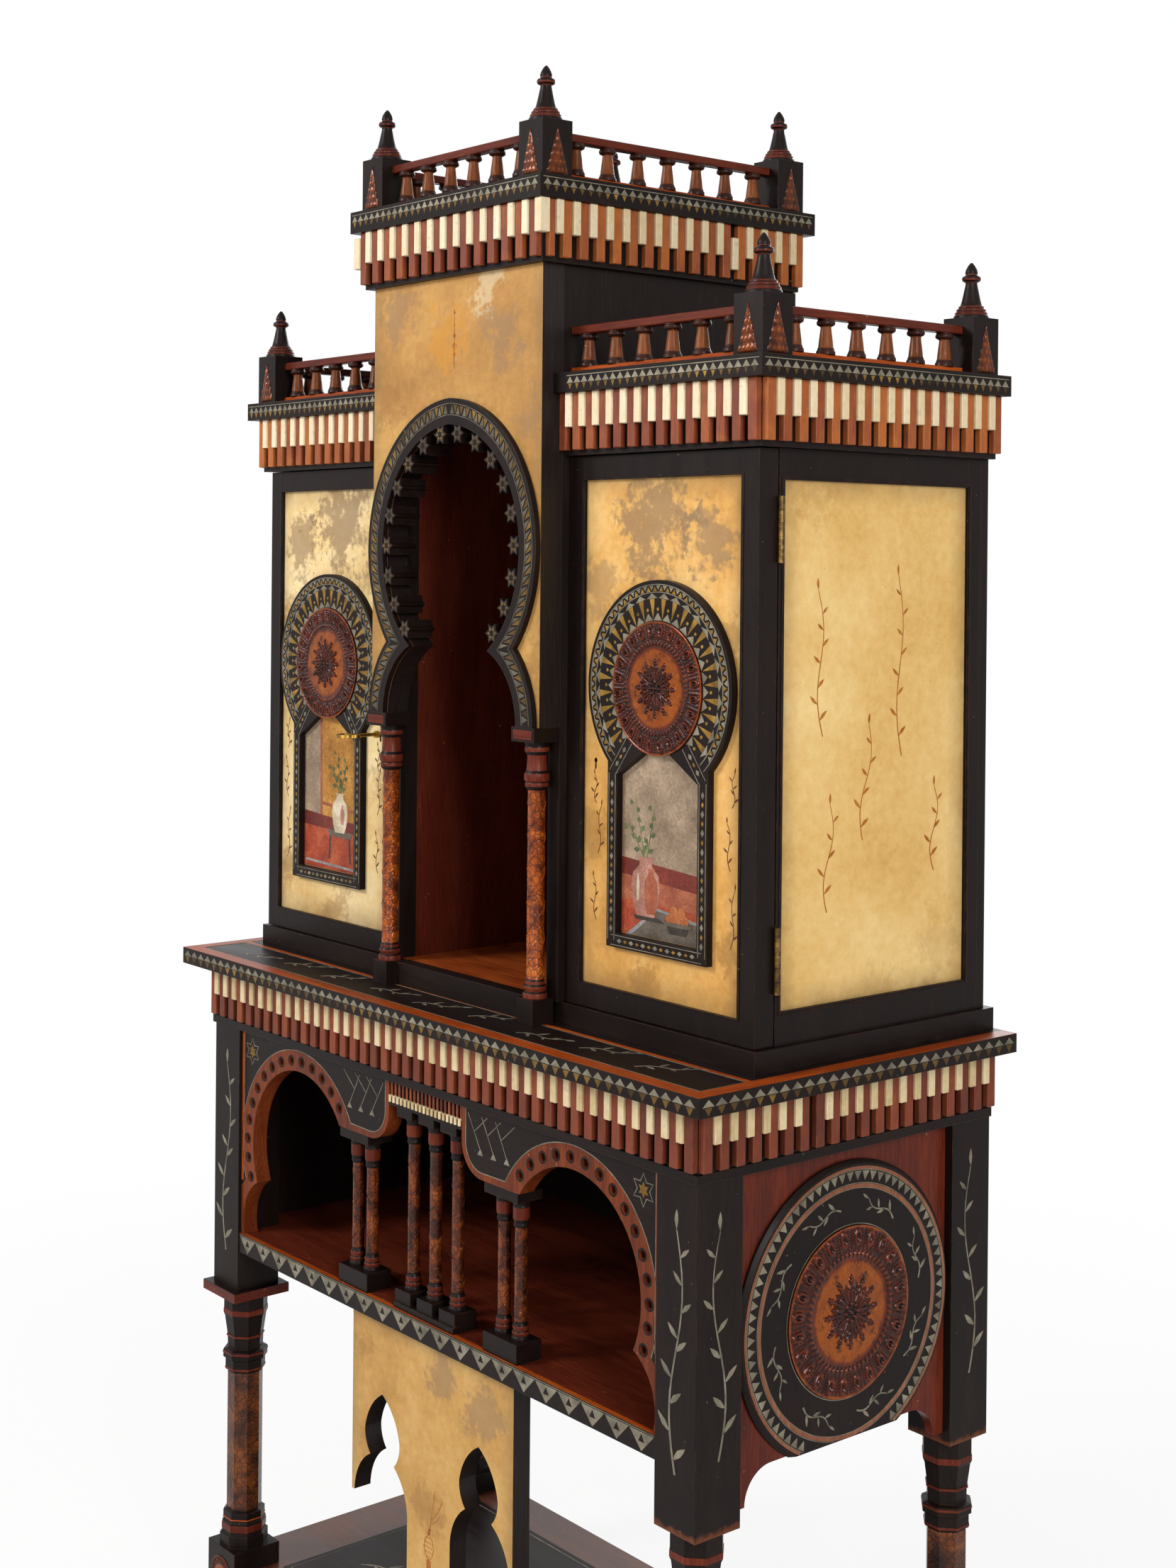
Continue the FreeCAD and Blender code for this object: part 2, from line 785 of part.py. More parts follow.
def colonnettes(front):
    axis_y = front + cell.colonnette_setback
    block_top = shelf_top + cell.colonnette_block_height
    cap = cell.colonnette_cap_height
    low_top = arch_foot - cap
    high_top = frieze_bottom - cell.lintel_height - cap
    radius = cell.colonnette_radius
    shafts = []
    near = cell.lobe_end + cell.colonnette_pair_start
    far = near + cell.colonnette_pair_pitch
    pitch = cell.colonnette_triple_pitch
    pair_x = [x * side for label, side in SIDES for x in (near, far)]
    for name, top, row in (("short", low_top, pair_x), ("tall", high_top, [-pitch, as_size(0), pitch])):
        master = turned(f"colonnette_{name}", [
            (radius * 1.45, block_top),
            (radius * 1.45, block_top + radius * 0.7),
            (radius * 1.15, block_top + radius),
            (radius * 1.3, block_top + radius * 2.3),
            (radius, block_top + radius * 3),
            (radius, top - radius * 4.1),
            (radius * 1.25, top - radius * 3.9),
            (radius * 1.1, top - radius * 3.2),
            (radius * 1.35, top - radius * 3),
            (radius * 1.35, top - radius * 1.15),
            (radius * 1.5, top - radius * 0.9),
            (radius * 1.5, top),
        ])
        shafts.append(copies(f"colonnettes_{name}", master, [(x, axis_y, 0) for x in row]))
    piece(group("colonnettes", shafts))
    half = cell.colonnette_block_depth / 2
    margin = cell.colonnette_block_margin
    blocks = []
    for label, side in SIDES:
        low, high = (near - margin, far + margin) if side > 0 else (-far - margin, -near + margin)
        blocks.append(box(f"pair_base_{label}", (low, axis_y - half, shelf_top),
                          (high, axis_y + half, block_top)))
        blocks.append(box(f"pair_cap_{label}", (low, axis_y - half, low_top),
                          (high, axis_y + half, arch_foot)))
    plate_top = shelf_top + cell.colonnette_block_height / 3
    plate = pitch + margin
    blocks.append(box("triple_plate", (-plate, axis_y - half, shelf_top),
                      (plate, axis_y + half, plate_top)))
    base_block = box("triple_base", (-margin, axis_y - margin, plate_top),
                     (margin, axis_y + margin, block_top))
    cap_block = box("triple_cap", (-margin, axis_y - margin, high_top),
                    (margin, axis_y + margin, high_top + cap))
    row = [(-pitch, 0, 0), (0, 0, 0), (pitch, 0, 0)]
    blocks.append(copies("triple_bases", base_block, row))
    blocks.append(copies("triple_caps", cap_block, row))
    piece(group("colonnette_blocks", blocks))


# Carcase of the cabinet on the table top
plinth_front = table_front + cell.plinth_front
plinth_back = table_back - cell.plinth_back
plinth_top = base + cell.plinth_height
carcase_x = cell.table_width / 2 - cell.carcase_inset
plinth_x = carcase_x + cell.plinth_reveal
carcase_front = table_front + cell.carcase_front
carcase_back = table_back - cell.carcase_back
inner_back = carcase_back - cell.back_thickness
carcase_top = base + cell.carcase_height
side_inner_x = carcase_x - cell.side_thickness
tower_x = cell.tower_width / 2
niche_x = tower_x - cell.partition_thickness
tower_front = table_front + cell.tower_front_gap
tower_board_back = tower_front + cell.tower_board_thickness
tower_top = base + cell.tower_height
key_height = base + cell.keyhole_height
column_y = tower_front + cell.tower_board_thickness / 2


def carcase():
    step_x = cell.column_offset - cell.column_block_width / 2
    step_top = plinth_top + cell.niche_floor_thickness
    piece(group("cabinet_plinth", [
        box("plinth_board", (-plinth_x, plinth_front, base), (plinth_x, plinth_back, plinth_top)),
        box("niche_step", (-step_x, plinth_front - cell.step_depth, base), (step_x, plinth_front, step_top)),
    ]))
    floors = [box("niche_floor", (-niche_x, plinth_front, plinth_top), (niche_x, inner_back, step_top))]
    tops = []
    lid_front = table_front + cell.wing_frieze_front + cell.rail_thickness
    ceiling = base + cell.niche_ceiling_height
    for label, side in SIDES:
        near, far = (tower_x, side_inner_x) if side > 0 else (-side_inner_x, -tower_x)
        floors.append(box(f"cupboard_floor_{label}", (near, carcase_front, plinth_top),
                          (far, inner_back, plinth_top + cell.floor_thickness)))
        near, far = (tower_x, carcase_x) if side > 0 else (-carcase_x, -tower_x)
        tops.append(box(f"cupboard_top_{label}", (near, lid_front, carcase_top),
                        (far, carcase_back, carcase_top + cell.floor_thickness)))
    tops.append(box("niche_ceiling", (-niche_x, tower_board_back, ceiling),
                    (niche_x, inner_back, ceiling + cell.floor_thickness)))
    piece(group("cabinet_floors", floors))
    piece(group("carcase_tops", tops))
    outline = both_halves([
        (-carcase_x, plinth_top),
        (-carcase_x, carcase_top),
        (-tower_x, carcase_top),
        (-tower_x, tower_top),
    ])
    piece(board("cabinet_back", "XZ_Plane", outline, inner_back, carcase_back))
    for label, side in SIDES:
        near, far = (niche_x, tower_x) if side > 0 else (-tower_x, -niche_x)
        wall = box(f"partition_{label}_board", (near, tower_board_back, plinth_top),
                   (far, inner_back, tower_top))
        piece(cut(f"partition_{label}", wall, [strike(label, side)]))
        side_wall(label, side)
    piece(group("side_panels", [side_panel(label, side) for label, side in SIDES]))


def bolt_band():
    """Heights and depths of a lock bolt: bottom, top, front, back."""
    low = key_height + cell.bolt_rise
    front = carcase_front - cell.hinge_gap + cell.lock_wall + cell.bolt_clearance * 4
    return low, low + cell.bolt_height, front, front + cell.bolt_thickness


def strike(label, side):
    """The mortise in a partition that takes the thrown bolt."""
    low, high, front, back = bolt_band()
    room = cell.bolt_clearance * 3
    deep = tower_x - cell.bolt_throw
    near, far = (deep, tower_x) if side > 0 else (-tower_x, -deep)
    return box(f"strike_{label}", (near, front - room, low - room), (far, back + room, high + room))


def side_wall(label, side):
    near, far = (side_inner_x, carcase_x) if side > 0 else (-carcase_x, -side_inner_x)
    back_stile = inner_back - cell.side_back_stile + cell.back_thickness
    low, high = plinth_top + cell.side_bottom_rail, carcase_top - cell.side_top_rail
    front_stile = carcase_front + cell.side_front_stile
    piece(group(f"side_frame_{label}", [
        box(f"side_stile_front_{label}", (near, carcase_front, plinth_top),
            (far, front_stile, carcase_top)),
        box(f"side_stile_back_{label}", (near, back_stile, plinth_top), (far, inner_back, carcase_top)),
        box(f"side_rail_bottom_{label}", (near, front_stile, plinth_top), (far, back_stile, low)),
        box(f"side_rail_top_{label}", (near, front_stile, high), (far, back_stile, carcase_top)),
    ]))


def side_panel(label, side):
    face = carcase_x - cell.side_panel_recess
    near, far = (face - cell.side_panel_thickness, face)
    if side < 0:
        near, far = -far, -near
    back_stile = inner_back - cell.side_back_stile + cell.back_thickness
    low, high = plinth_top + cell.side_bottom_rail, carcase_top - cell.side_top_rail
    return box(f"side_panel_{label}", (near, carcase_front + cell.side_front_stile, low),
               (far, back_stile, high))


# Tower front, its horseshoe arch, columns and star prisms
def crossing(first, second):
    """The right-hand crossing of two circles, each a centre and a radius."""
    (ax, az, ar), (bx, bz, br) = first, second
    dx, dz = bx - ax, bz - az
    apart = root(dx * dx + dz * dz)
    along = (ar * ar - br * br + apart * apart) / (2 * apart)
    off = root(ar * ar - along * along)
    return ax + (dx * along - dz * off) / apart, az + (dz * along + dx * off) / apart


def arch_half(inset):
    """The left half of the arch outline from the springing to the tip."""
    rise = cell.arch_tip - cell.niche_arch_centre
    shift = cell.niche_arch_shift
    crown = root(shift * shift + rise * rise) - inset
    haunch = cell.haunch_arch_radius - inset
    spring = base + cell.niche_spring
    crown_z = base + cell.niche_arch_centre
    haunch_x = cell.niche_spring_half_width - cell.haunch_arch_radius
    cusp_x, cusp_z = crossing((-shift, crown_z, crown), (haunch_x, spring, haunch))
    tip = crown_z + root(crown * crown - shift * shift)
    return [
        (-haunch_x - haunch, spring),
        (-cusp_x, cusp_z, haunch, -1),
        (shift - crown, crown_z, crown, -1),
        (as_size(0), tip, crown, -1),
    ]


def tower():
    inner = arch_half(cell.niche_band)
    outer = arch_half(as_size(0))
    spring = base + cell.niche_spring
    edge = [(-tower_x, tower_top), (-tower_x, spring)]
    outline = edge + both_halves(inner) + [(tower_x, spring), (tower_x, tower_top)]
    front_board = piece(board("tower_front", "XZ_Plane", outline, tower_front, tower_board_back))
    face = tower_front - cell.niche_band_projection
    band = both_halves(outer) + reversed_path(both_halves(inner))
    arch = piece(board("niche_arch", "XZ_Plane", band, face, tower_front))
    stars(front_board, arch, face)
    columns()


def reversed_path(path):
    """The same outline walked the other way round."""
    turned_back = []
    for index in range(len(path) - 1, -1, -1):
        after = path[index + 1] if index + 1 < len(path) else ()
        arc = after[2:]
        turned_back.append((path[index][0], path[index][1]) + ((arc[0], -arc[1]) if arc else ()))
    return turned_back


def stars(front_board, arch, face):
    """Eighteen star-shaped prisms set round the inner edge of the arch."""
    points = []
    for number in range(12):
        radius = cell.star_radius if number % 2 == 0 else cell.star_inner_radius
        angle = math.radians(30 * number)
        points.append((radius * math.cos(angle), radius * math.sin(angle)))
    prism = board("star_prism", "XZ_Plane", points, face, tower_board_back)
    rise = (cell.arch_tip - cell.niche_arch_centre).number
    shift = cell.niche_arch_shift.number
    ring = math.hypot(rise, shift) - (cell.niche_band + cell.star_radius * 0.72).number
    first_angle, last_angle, count = 79.0, -45.0, 9
    places = []
    for label, side in SIDES:
        for number in range(count):
            angle = math.radians(first_angle + (last_angle - first_angle) * number / (count - 1))
            x = (ring * math.cos(angle) - shift) * side
            places.append((x, 0, (base + cell.niche_arch_centre).number + ring * math.sin(angle)))
    row = copies("star_row", prism, places)
    piece(cut("arch_stars", row, [front_board, arch]))


def columns():
    floor = base + cell.column_block_height
    impost = base + cell.niche_spring - cell.impost_height
    shaft_low = floor + cell.column_base_height
    shaft_high = impost - cell.column_capital_height
    radius = cell.column_radius
    master = turned("niche_column", [
        (radius * 1.4, floor),
        (radius * 1.4, floor + radius * 0.6),
        (radius * 1.15, floor + radius * 0.8),
        (radius * 1.3, floor + radius * 1.5),
        (radius, shaft_low),
        (radius, shaft_high),
        (radius * 1.35, shaft_high + radius * 0.3),
        (radius * 1.35, shaft_high + radius * 0.8),
        (radius * 1.45, shaft_high + radius * 1.1),
        (radius * 1.45, shaft_high + radius * 1.95),
        (radius * 1.2, shaft_high + radius * 2.25),
        (radius * 1.1, shaft_high + radius * 3.9),
        (radius * 1.4, shaft_high + radius * 4.2),
        (radius * 1.4, impost),
    ])
    offset = cell.column_offset
    piece(copies("niche_columns", master, [(-offset, column_y, 0), (offset, column_y, 0)]))
    half = cell.column_block_width / 2
    blocks = []
    for label, side in SIDES:
        middle = offset * side
        blocks.append(box(f"column_block_{label}", (middle - half, tower_front, base),
                          (middle + half, tower_board_back, floor)))
        outer = tower_x * side
        inward = (tower_x - cell.impost_width) * side
        near, far = (inward, outer) if side > 0 else (outer, inward)
        blocks.append(box(f"impost_{label}", (near, tower_front - cell.niche_band_projection, impost),
                          (far, tower_board_back, base + cell.niche_spring)))
    piece(group("column_blocks", blocks))


# Cornices: frieze boards with a slab above, on both wings and on the tower
wing_frieze_x = carcase_x + cell.wing_frieze_projection
wing_frieze_front = table_front + cell.wing_frieze_front
wing_frieze_top = carcase_top + cell.wing_frieze_height
wing_slab_x = wing_frieze_x + cell.slab_projection
wing_slab_front = wing_frieze_front - cell.slab_projection
wing_slab_back = carcase_back + cell.slab_back_overhang
wing_slab_top = wing_frieze_top + cell.wing_slab_height
tower_frieze_x = tower_x + cell.tower_frieze_projection
tower_frieze_front = tower_front - cell.tower_frieze_projection
tower_frieze_back = carcase_back - cell.tower_back_reveal
tower_frieze_top = tower_top + cell.tower_frieze_height
tower_slab_x = tower_frieze_x + cell.tower_slab_projection
tower_slab_front = tower_frieze_front - cell.tower_slab_projection
tower_slab_back = carcase_back + cell.tower_slab_back_overhang
tower_slab_top = tower_frieze_top + cell.tower_slab_height


def cornices():
    rail = cell.rail_thickness
    boards = []
    slabs = []
    for label, side in SIDES:
        near, far = (tower_x, wing_frieze_x) if side > 0 else (-wing_frieze_x, -tower_x)
        boards.append(box(f"wing_frieze_front_{label}", (near, wing_frieze_front, carcase_top),
                          (far, wing_frieze_front + rail, wing_frieze_top)))
        near, far = (carcase_x, wing_frieze_x) if side > 0 else (-wing_frieze_x, -carcase_x)
        boards.append(box(f"wing_frieze_side_{label}", (near, wing_frieze_front + rail, carcase_top),
                          (far, carcase_back, wing_frieze_top)))
        near, far = (tower_x, carcase_x) if side > 0 else (-carcase_x, -tower_x)
        boards.append(box(f"wing_frieze_back_{label}",
                          (near, inner_back, carcase_top + cell.floor_thickness),
                          (far, carcase_back, wing_frieze_top)))
        near, far = (tower_x, wing_slab_x) if side > 0 else (-wing_slab_x, -tower_x)
        slabs.append(box(f"wing_slab_{label}", (near, wing_slab_front, wing_frieze_top),
                         (far, wing_slab_back, wing_slab_top)))
        near, far = tower_frieze_x - rail, tower_frieze_x
        if side < 0:
            near, far = -far, -near
        boards.append(box(f"tower_frieze_{label}", (near, tower_frieze_front + rail, tower_top),
                          (far, tower_frieze_back - rail, tower_frieze_top)))
    boards.append(box("tower_frieze_front", (-tower_frieze_x, tower_frieze_front, tower_top),
                      (tower_frieze_x, tower_frieze_front + rail, tower_frieze_top)))
    boards.append(box("tower_frieze_back", (-tower_frieze_x, tower_frieze_back - rail, tower_top),
                      (tower_frieze_x, tower_frieze_back, tower_frieze_top)))
    slabs.append(box("tower_slab", (-tower_slab_x, tower_slab_front, tower_frieze_top),
                     (tower_slab_x, tower_slab_back, tower_slab_top)))
    piece(group("cornice_friezes", boards))
    piece(group("cornice_slabs", slabs))


# Billets: long red pegs with short cream pegs between them
def billet_row(name, first, last, gap, at, top, lengths, facing):
    """One run of red and cream pegs, along X for facing 0 or along Y for facing -1 or 1."""
    rows = []
    room = last - first - cell.red_width
    pitch = cell.red_width + cell.cream_width + gap
    count = int(room.number / pitch.number) + 1
    for colour, width, depth, length, half_step in (
            ("red", cell.red_width, cell.red_depth, lengths[0], 0),
            ("cream", cell.cream_width, cell.cream_depth, lengths[1], 1)):
        half = width / 2
        if facing == 0:
            low, high = (-half, at - depth, top - length), (half, at, top)
        elif facing > 0:
            low, high = (at, -half, top - length), (at + depth, half, top)
        else:
            low, high = (-at - depth, -half, top - length), (-at, half, top)
        master = box(f"{name}_{colour}", low, high)
        ends = spread(first + cell.red_width / 2, last - cell.red_width / 2, count)
        step = ends[1] - ends[0]
        spots = [value + half_step * step / 2 for value in ends[:len(ends) - half_step]]
        places = [(value, 0, 0) if facing == 0 else (0, value, 0) for value in spots]
        rows.append(copies(f"{name}_{colour}s", master, places))
    return rows


def billets():
    stand = (cell.stand_red_length, cell.stand_cream_length)
    cornice = (cell.cornice_red_length, cell.cornice_cream_length)
    gap = cell.billet_gap
    rows = [billet_row("stand_front", -post_x, post_x, gap, post_front, frieze_top, stand, 0)]
    for label, side in SIDES:
        rows.append(billet_row(f"stand_{label}", post_front, post_back, gap, post_x, frieze_top,
                               stand, side))
        first, last = (tower_x, wing_frieze_x) if side > 0 else (-wing_frieze_x, -tower_x)
        rows.append(billet_row(f"wing_front_{label}", first, last, gap, wing_frieze_front,
                               wing_frieze_top, cornice, 0))
        rows.append(billet_row(f"wing_{label}", wing_frieze_front, carcase_back, gap, wing_frieze_x,
                               wing_frieze_top, cornice, side))
        rows.append(billet_row(f"tower_{label}", tower_frieze_front, tower_frieze_back,
                               cell.tower_side_billet_gap, tower_frieze_x, tower_frieze_top,
                               cornice, side))
    rows.append(billet_row("tower_front_row", -tower_frieze_x, tower_frieze_x,
                           cell.tower_front_billet_gap, tower_frieze_front, tower_frieze_top,
                           cornice, 0))
    piece(group("red_billets", [row[0] for row in rows]))
    piece(group("cream_billets", [row[1] for row in rows]))


# Galleries: corner posts with finials, rails and turned balusters
def galleries():
    inset = cell.gallery_post_inset
    half = cell.gallery_post_side / 2
    wing_x = wing_slab_x - inset
    wing_front, wing_back = wing_slab_front + inset, wing_slab_back - inset
    top_x = tower_slab_x - inset
    top_front, top_back = tower_slab_front + inset, tower_slab_back - inset
    spots = []
    for label, side in SIDES:
        spots += [(wing_x * side, wing_front, wing_slab_top), (wing_x * side, wing_back, wing_slab_top)]
        spots += [(top_x * side, top_front, tower_slab_top), (top_x * side, top_back, tower_slab_top)]
    post = box("gallery_post", (-half, -half, 0), (half, half, cell.gallery_post_height))
    piece(copies("gallery_posts", post, spots))
    finial = finial_body()
    piece(copies("finials", finial, [(x, y, z + cell.gallery_post_height) for x, y, z in spots]))
    runs = [("tower_gallery_front", "x", -top_x + half, top_x - half, top_front, tower_slab_top, 6)]
    for label, side in SIDES:
        first, last = (tower_x, wing_x - half) if side > 0 else (half - wing_x, -tower_x)
        runs.append((f"wing_gallery_front_{label}", "x", first, last, wing_front, wing_slab_top, 6))
        runs.append((f"wing_gallery_{label}", "y", wing_front + half, wing_back - half, wing_x * side,
                     wing_slab_top, 6))
        runs.append((f"tower_gallery_{label}", "y", top_front + half, top_back - half, top_x * side,
                     tower_slab_top, 7))
    rails = []
    baluster_places = []
    width = cell.gallery_rail_width / 2
    for name, along, first, last, across, floor, count in runs:
        foot = floor + cell.bottom_rail_height
        head = foot + cell.baluster_height
        for level, low, high in (("bottom", floor, foot), ("top", head, head + cell.top_rail_height)):
            start, end = (first, across - width, low), (last, across + width, high)
            if along == "y":
                start, end = (across - width, first, low), (across + width, last, high)
            rails.append(box(f"{name}_{level}", start, end))
        pitch = (last.number - first.number) / count
        for number in range(count):
            value = first.number + pitch * (number + 0.5)
            spot = (value, across) if along == "x" else (across, value)
            baluster_places.append((*spot, foot))
    piece(group("gallery_rails", rails))
    radius, height = cell.baluster_radius, cell.baluster_height
    baluster = turned("baluster", [
        (radius, 0),
        (radius, height * 0.12),
        (radius * 0.9, height * 0.16),
        (radius * 0.55, height * 0.8),
        (radius * 0.8, height * 0.84),
        (radius * 0.8, height),
    ])
    piece(copies("balusters", baluster, baluster_places))


def finial_body():
    radius, height = cell.finial_radius, cell.finial_height
    return turned("finial", [
        (radius, 0),
        (radius, height * 0.06),
        (radius * 0.8, height * 0.08),
        (radius * 0.8, height * 0.14),
        (radius * 0.62, height * 0.17),
        (radius * 0.4, height * 0.38),
        (radius * 0.26, height * 0.62),
        (radius * 0.44, height * 0.65),
        (radius * 0.44, height * 0.71),
        (radius * 0.28, height * 0.74),
        (radius * 0.34, height * 0.82),
        (radius * 0.06, height),
    ])


# Doors: framed panels with a pierced surround, a boss, a lock and hinge leaves
door_back = carcase_front - cell.hinge_gap
door_front = door_back - cell.door_thickness
door_near = tower_x + cell.door_gap
door_far = carcase_x
keyhole_x = door_near + cell.keyhole_inset
lock_near = door_near + cell.lock_inset
door_low = plinth_top + cell.door_gap
door_high = carcase_top - cell.door_gap
panel_near = door_near + cell.door_stile
panel_far = door_far - cell.door_stile
panel_low = door_low + cell.door_stile
panel_high = door_high - cell.door_stile
panel_face = door_front + cell.door_panel_recess
hinge_x = carcase_x + cell.knuckle_radius + cell.knuckle_clearance
hinge_y = carcase_front - cell.hinge_gap / 2


def span(side, near, far):
    return (near, far) if side > 0 else (-far, -near)


def doors():
    carcase_hinges = []
    for label, side in SIDES:
        near, far = span(side, door_near, door_far)
        inner_near, inner_far = span(side, panel_near, panel_far)
        stile_a, stile_b = span(side, door_near, panel_near)
        stile_c, stile_d = span(side, panel_far, door_far)
        piece(group(f"door_frame_{label}", [
            box(f"door_stile_lock_{label}", (stile_a, door_front, door_low),
                (stile_b, door_back, door_high)),
            box(f"door_stile_hinge_{label}", (stile_c, door_front, door_low),
                (stile_d, door_back, door_high)),
            box(f"door_rail_low_{label}", (inner_near, door_front, door_low),
                (inner_far, door_back, panel_low)),
            box(f"door_rail_high_{label}", (inner_near, door_front, panel_high),
                (inner_far, door_back, door_high)),
        ]))
        blank = box(f"door_blank_{label}", (inner_near, panel_face, panel_low),
                    (inner_far, door_back, panel_high))
        piece(cut(f"door_panel_{label}", blank, keyhole(f"panel_{label}", side, panel_face, door_back)))
        surround(label, side)
        lock(label, side)
        door_leaves, side_leaves = hinges(label, side)
        piece(group(f"door_hinges_{label}", door_leaves))
        carcase_hinges += side_leaves
    piece(group("hinge_leaves", carcase_hinges))
    key()


def keyhole(name, side, front, back):
    """A round hole with a slot below it for the bit of the key."""
    radius = cell.key_radius + cell.bolt_clearance
    x = keyhole_x * side
    slot = cell.key_bit + cell.bolt_clearance
    return [
        rod(f"keyhole_round_{name}", (x, back, key_height), radius, back - front, TO_FRONT),
        box(f"keyhole_slot_{name}", (x - radius / 2, front, key_height - slot),
            (x + radius / 2, back, key_height)),
    ]


def surround(label, side):
    """The keyhole-shaped surround with its window, and the boss over its round head."""
    x = (panel_near + panel_far) / 2 + cell.medallion_shift
    z = base + cell.medallion_height
    radius = panel_far - x - cell.medallion_margin
    half = radius - cell.surround_inset
    bottom = base + cell.surround_bottom
    neck = z - root(radius * radius - half * half)
    bar = cell.surround_bar
    head = (half - bar) * cell.window_head_share
    shoulder = base + cell.surround_shoulder
    window_top = shoulder + cell.window_rise
    outline = [
        (x - half, bottom),
        (x + half, bottom),
        (x + half, neck),
        (x + radius, z, radius, 1),
        (x, z + radius, radius, 1),
        (x - radius, z, radius, 1),
        (x - half, neck, radius, 1),
    ]
    face = panel_face - cell.surround_thickness
    whole = board(f"surround_{label}_board", "XZ_Plane", mirrored(outline, side), face, panel_face)
    window = [
        (x - half + bar, bottom + bar),
        (x + half - bar, bottom + bar),
        (x + half - bar, shoulder),
        (x + head, window_top),
        (x - head, window_top),
        (x - half + bar, shoulder),
    ]
    opening = board(f"surround_{label}_window", "XZ_Plane", mirrored(window, side), face, panel_face)
    piece(cut(f"door_surround_{label}", whole, [opening]))
    dome = boss_body(f"door_boss_{label}", cell.door_boss_radius)
    dome.Placement.Rotation = TO_FRONT
    piece(place(dome, x * side, face, z))


def lock(label, side):
    low = key_height - cell.lock_height / 2
    high = key_height + cell.lock_height / 2
    back = door_back + cell.lock_depth
    wall = cell.lock_wall
    near, far = span(side, lock_near, lock_near + cell.lock_width)
    case = box(f"lock_case_{label}", (near, door_back, low), (far, back, high))
    cavity = box(f"lock_cavity_{label}", (near + wall, door_back + wall, low + wall),
                 (far - wall, back - wall, high - wall))
    bolt_low, bolt_high, bolt_front, bolt_back = bolt_band()
    gap = cell.bolt_clearance
    slot_near, slot_far = span(side, lock_near, lock_near + wall)
    slot = box(f"lock_slot_{label}", (slot_near, bolt_front - gap, bolt_low - gap),
               (slot_far, bolt_back + gap, bolt_high + gap))
    tools = [cavity, slot] + keyhole(f"lock_{label}", side, door_back, door_back + wall)
    piece(cut(f"door_lock_{label}", case, tools))
    tip = tower_x + cell.door_gap * 2
    near, far = span(side, tip, tip + cell.bolt_length)
    piece(box(f"lock_bolt_{label}", (near, bolt_front, bolt_low), (far, bolt_back, bolt_high)))


def hinges(label, side):
    """Butt hinges of five knuckles: two on the door's leaf, three and the pin on the carcase's."""
    door_leaves = []
    side_leaves = []
    knuckles = 5
    for level, middle in (("upper", carcase_top - cell.hinge_upper_drop), ("lower", base + cell.hinge_lower)):
        low = middle - cell.hinge_length / 2
        pitch = cell.hinge_length / knuckles
        leaf_far = carcase_x
        leaf_near = carcase_x - cell.leaf_width
        near, far = span(side, leaf_near, leaf_far)
        name = f"{level}_{label}"
        thin = cell.leaf_thickness
        door_parts = [box(f"door_leaf_{name}", (near, door_back, low),
                          (far, door_back + thin, low + cell.hinge_length))]
        side_parts = [box(f"side_leaf_{name}", (near, carcase_front - thin, low),
                          (far, carcase_front, low + cell.hinge_length))]
        for number in range(knuckles):
            bottom = low + pitch * number + cell.knuckle_clearance / 2
            length = pitch - cell.knuckle_clearance
            barrel = rod(f"knuckle_{name}_{number}", (hinge_x * side, hinge_y, bottom),
                         cell.knuckle_radius, length)
            tab_near, tab_far = span(side, leaf_far, hinge_x)
            on_door = number % 2 == 1
            tab_low = door_back if on_door else carcase_front - thin
            tab = box(f"tab_{name}_{number}", (tab_near, tab_low, bottom),
                      (tab_far, tab_low + thin, bottom + length))
            (door_parts if on_door else side_parts).extend([barrel, tab])
        side_parts.append(rod(f"pin_{name}", (hinge_x * side, hinge_y, low), cell.pin_radius,
                              cell.hinge_length))
        side_leaves.append(fuse(f"side_hinge_{name}", side_parts))
        bore = rod(f"bore_{name}", (hinge_x * side, hinge_y, low), cell.pin_radius + cell.pin_clearance,
                   cell.hinge_length)
        door_leaves.append(cut(f"door_hinge_{name}", fuse(f"door_hinge_solid_{name}", door_parts), [bore]))
    return door_leaves, side_leaves


def key():
    """The key of the left door: pierced trefoil bow, shank with a collar, and bit."""
    x = -keyhole_x
    bow = cell.key_bow_radius
    tail = panel_face - cell.key_reach
    bow_y = tail + bow
    tip = door_back + cell.lock_wall + cell.key_bit
    shank_y = bow_y + bow * 0.6
    thick = cell.key_radius * 0.8
    rings = []
    holes = []
    for number, (dx, dy) in enumerate(((0, 0), (-0.75, 0.55), (0.75, 0.55))):
        ring = bow * (1 if number == 0 else 0.6)
        spot = (x + bow * dx, bow_y + bow * dy, key_height - thick)
        rings.append(rod(f"key_bow_{number}", spot, ring, thick * 2))
        holes.append(rod(f"key_bow_hole_{number}", spot, ring * 0.55, thick * 2))
    pierced = cut("key_bow", fuse("key_bow_solid", rings), holes)
    shank = rod("key_shank", (x, tip, key_height), cell.key_radius, tip - shank_y, TO_FRONT)
    collar = rod("key_collar", (x, panel_face - bow * 0.3, key_height), cell.key_radius * 1.8,
                 bow * 0.35, TO_FRONT)
    bit_y = door_back + cell.lock_wall * 1.6
    bit = box("key_flag", (x, bit_y, key_height - cell.key_radius / 2),
              (x + cell.key_bit, tip, key_height + cell.key_radius / 2))
    piece(fuse("key", [pierced, shank, collar, bit]))


def build():
    posts = stand_frame()
    legs()
    support()
    stand_panels(posts)
    arcade()
    carcase()
    tower()
    cornices()
    billets()
    galleries()
    doors()
    document.recompute()


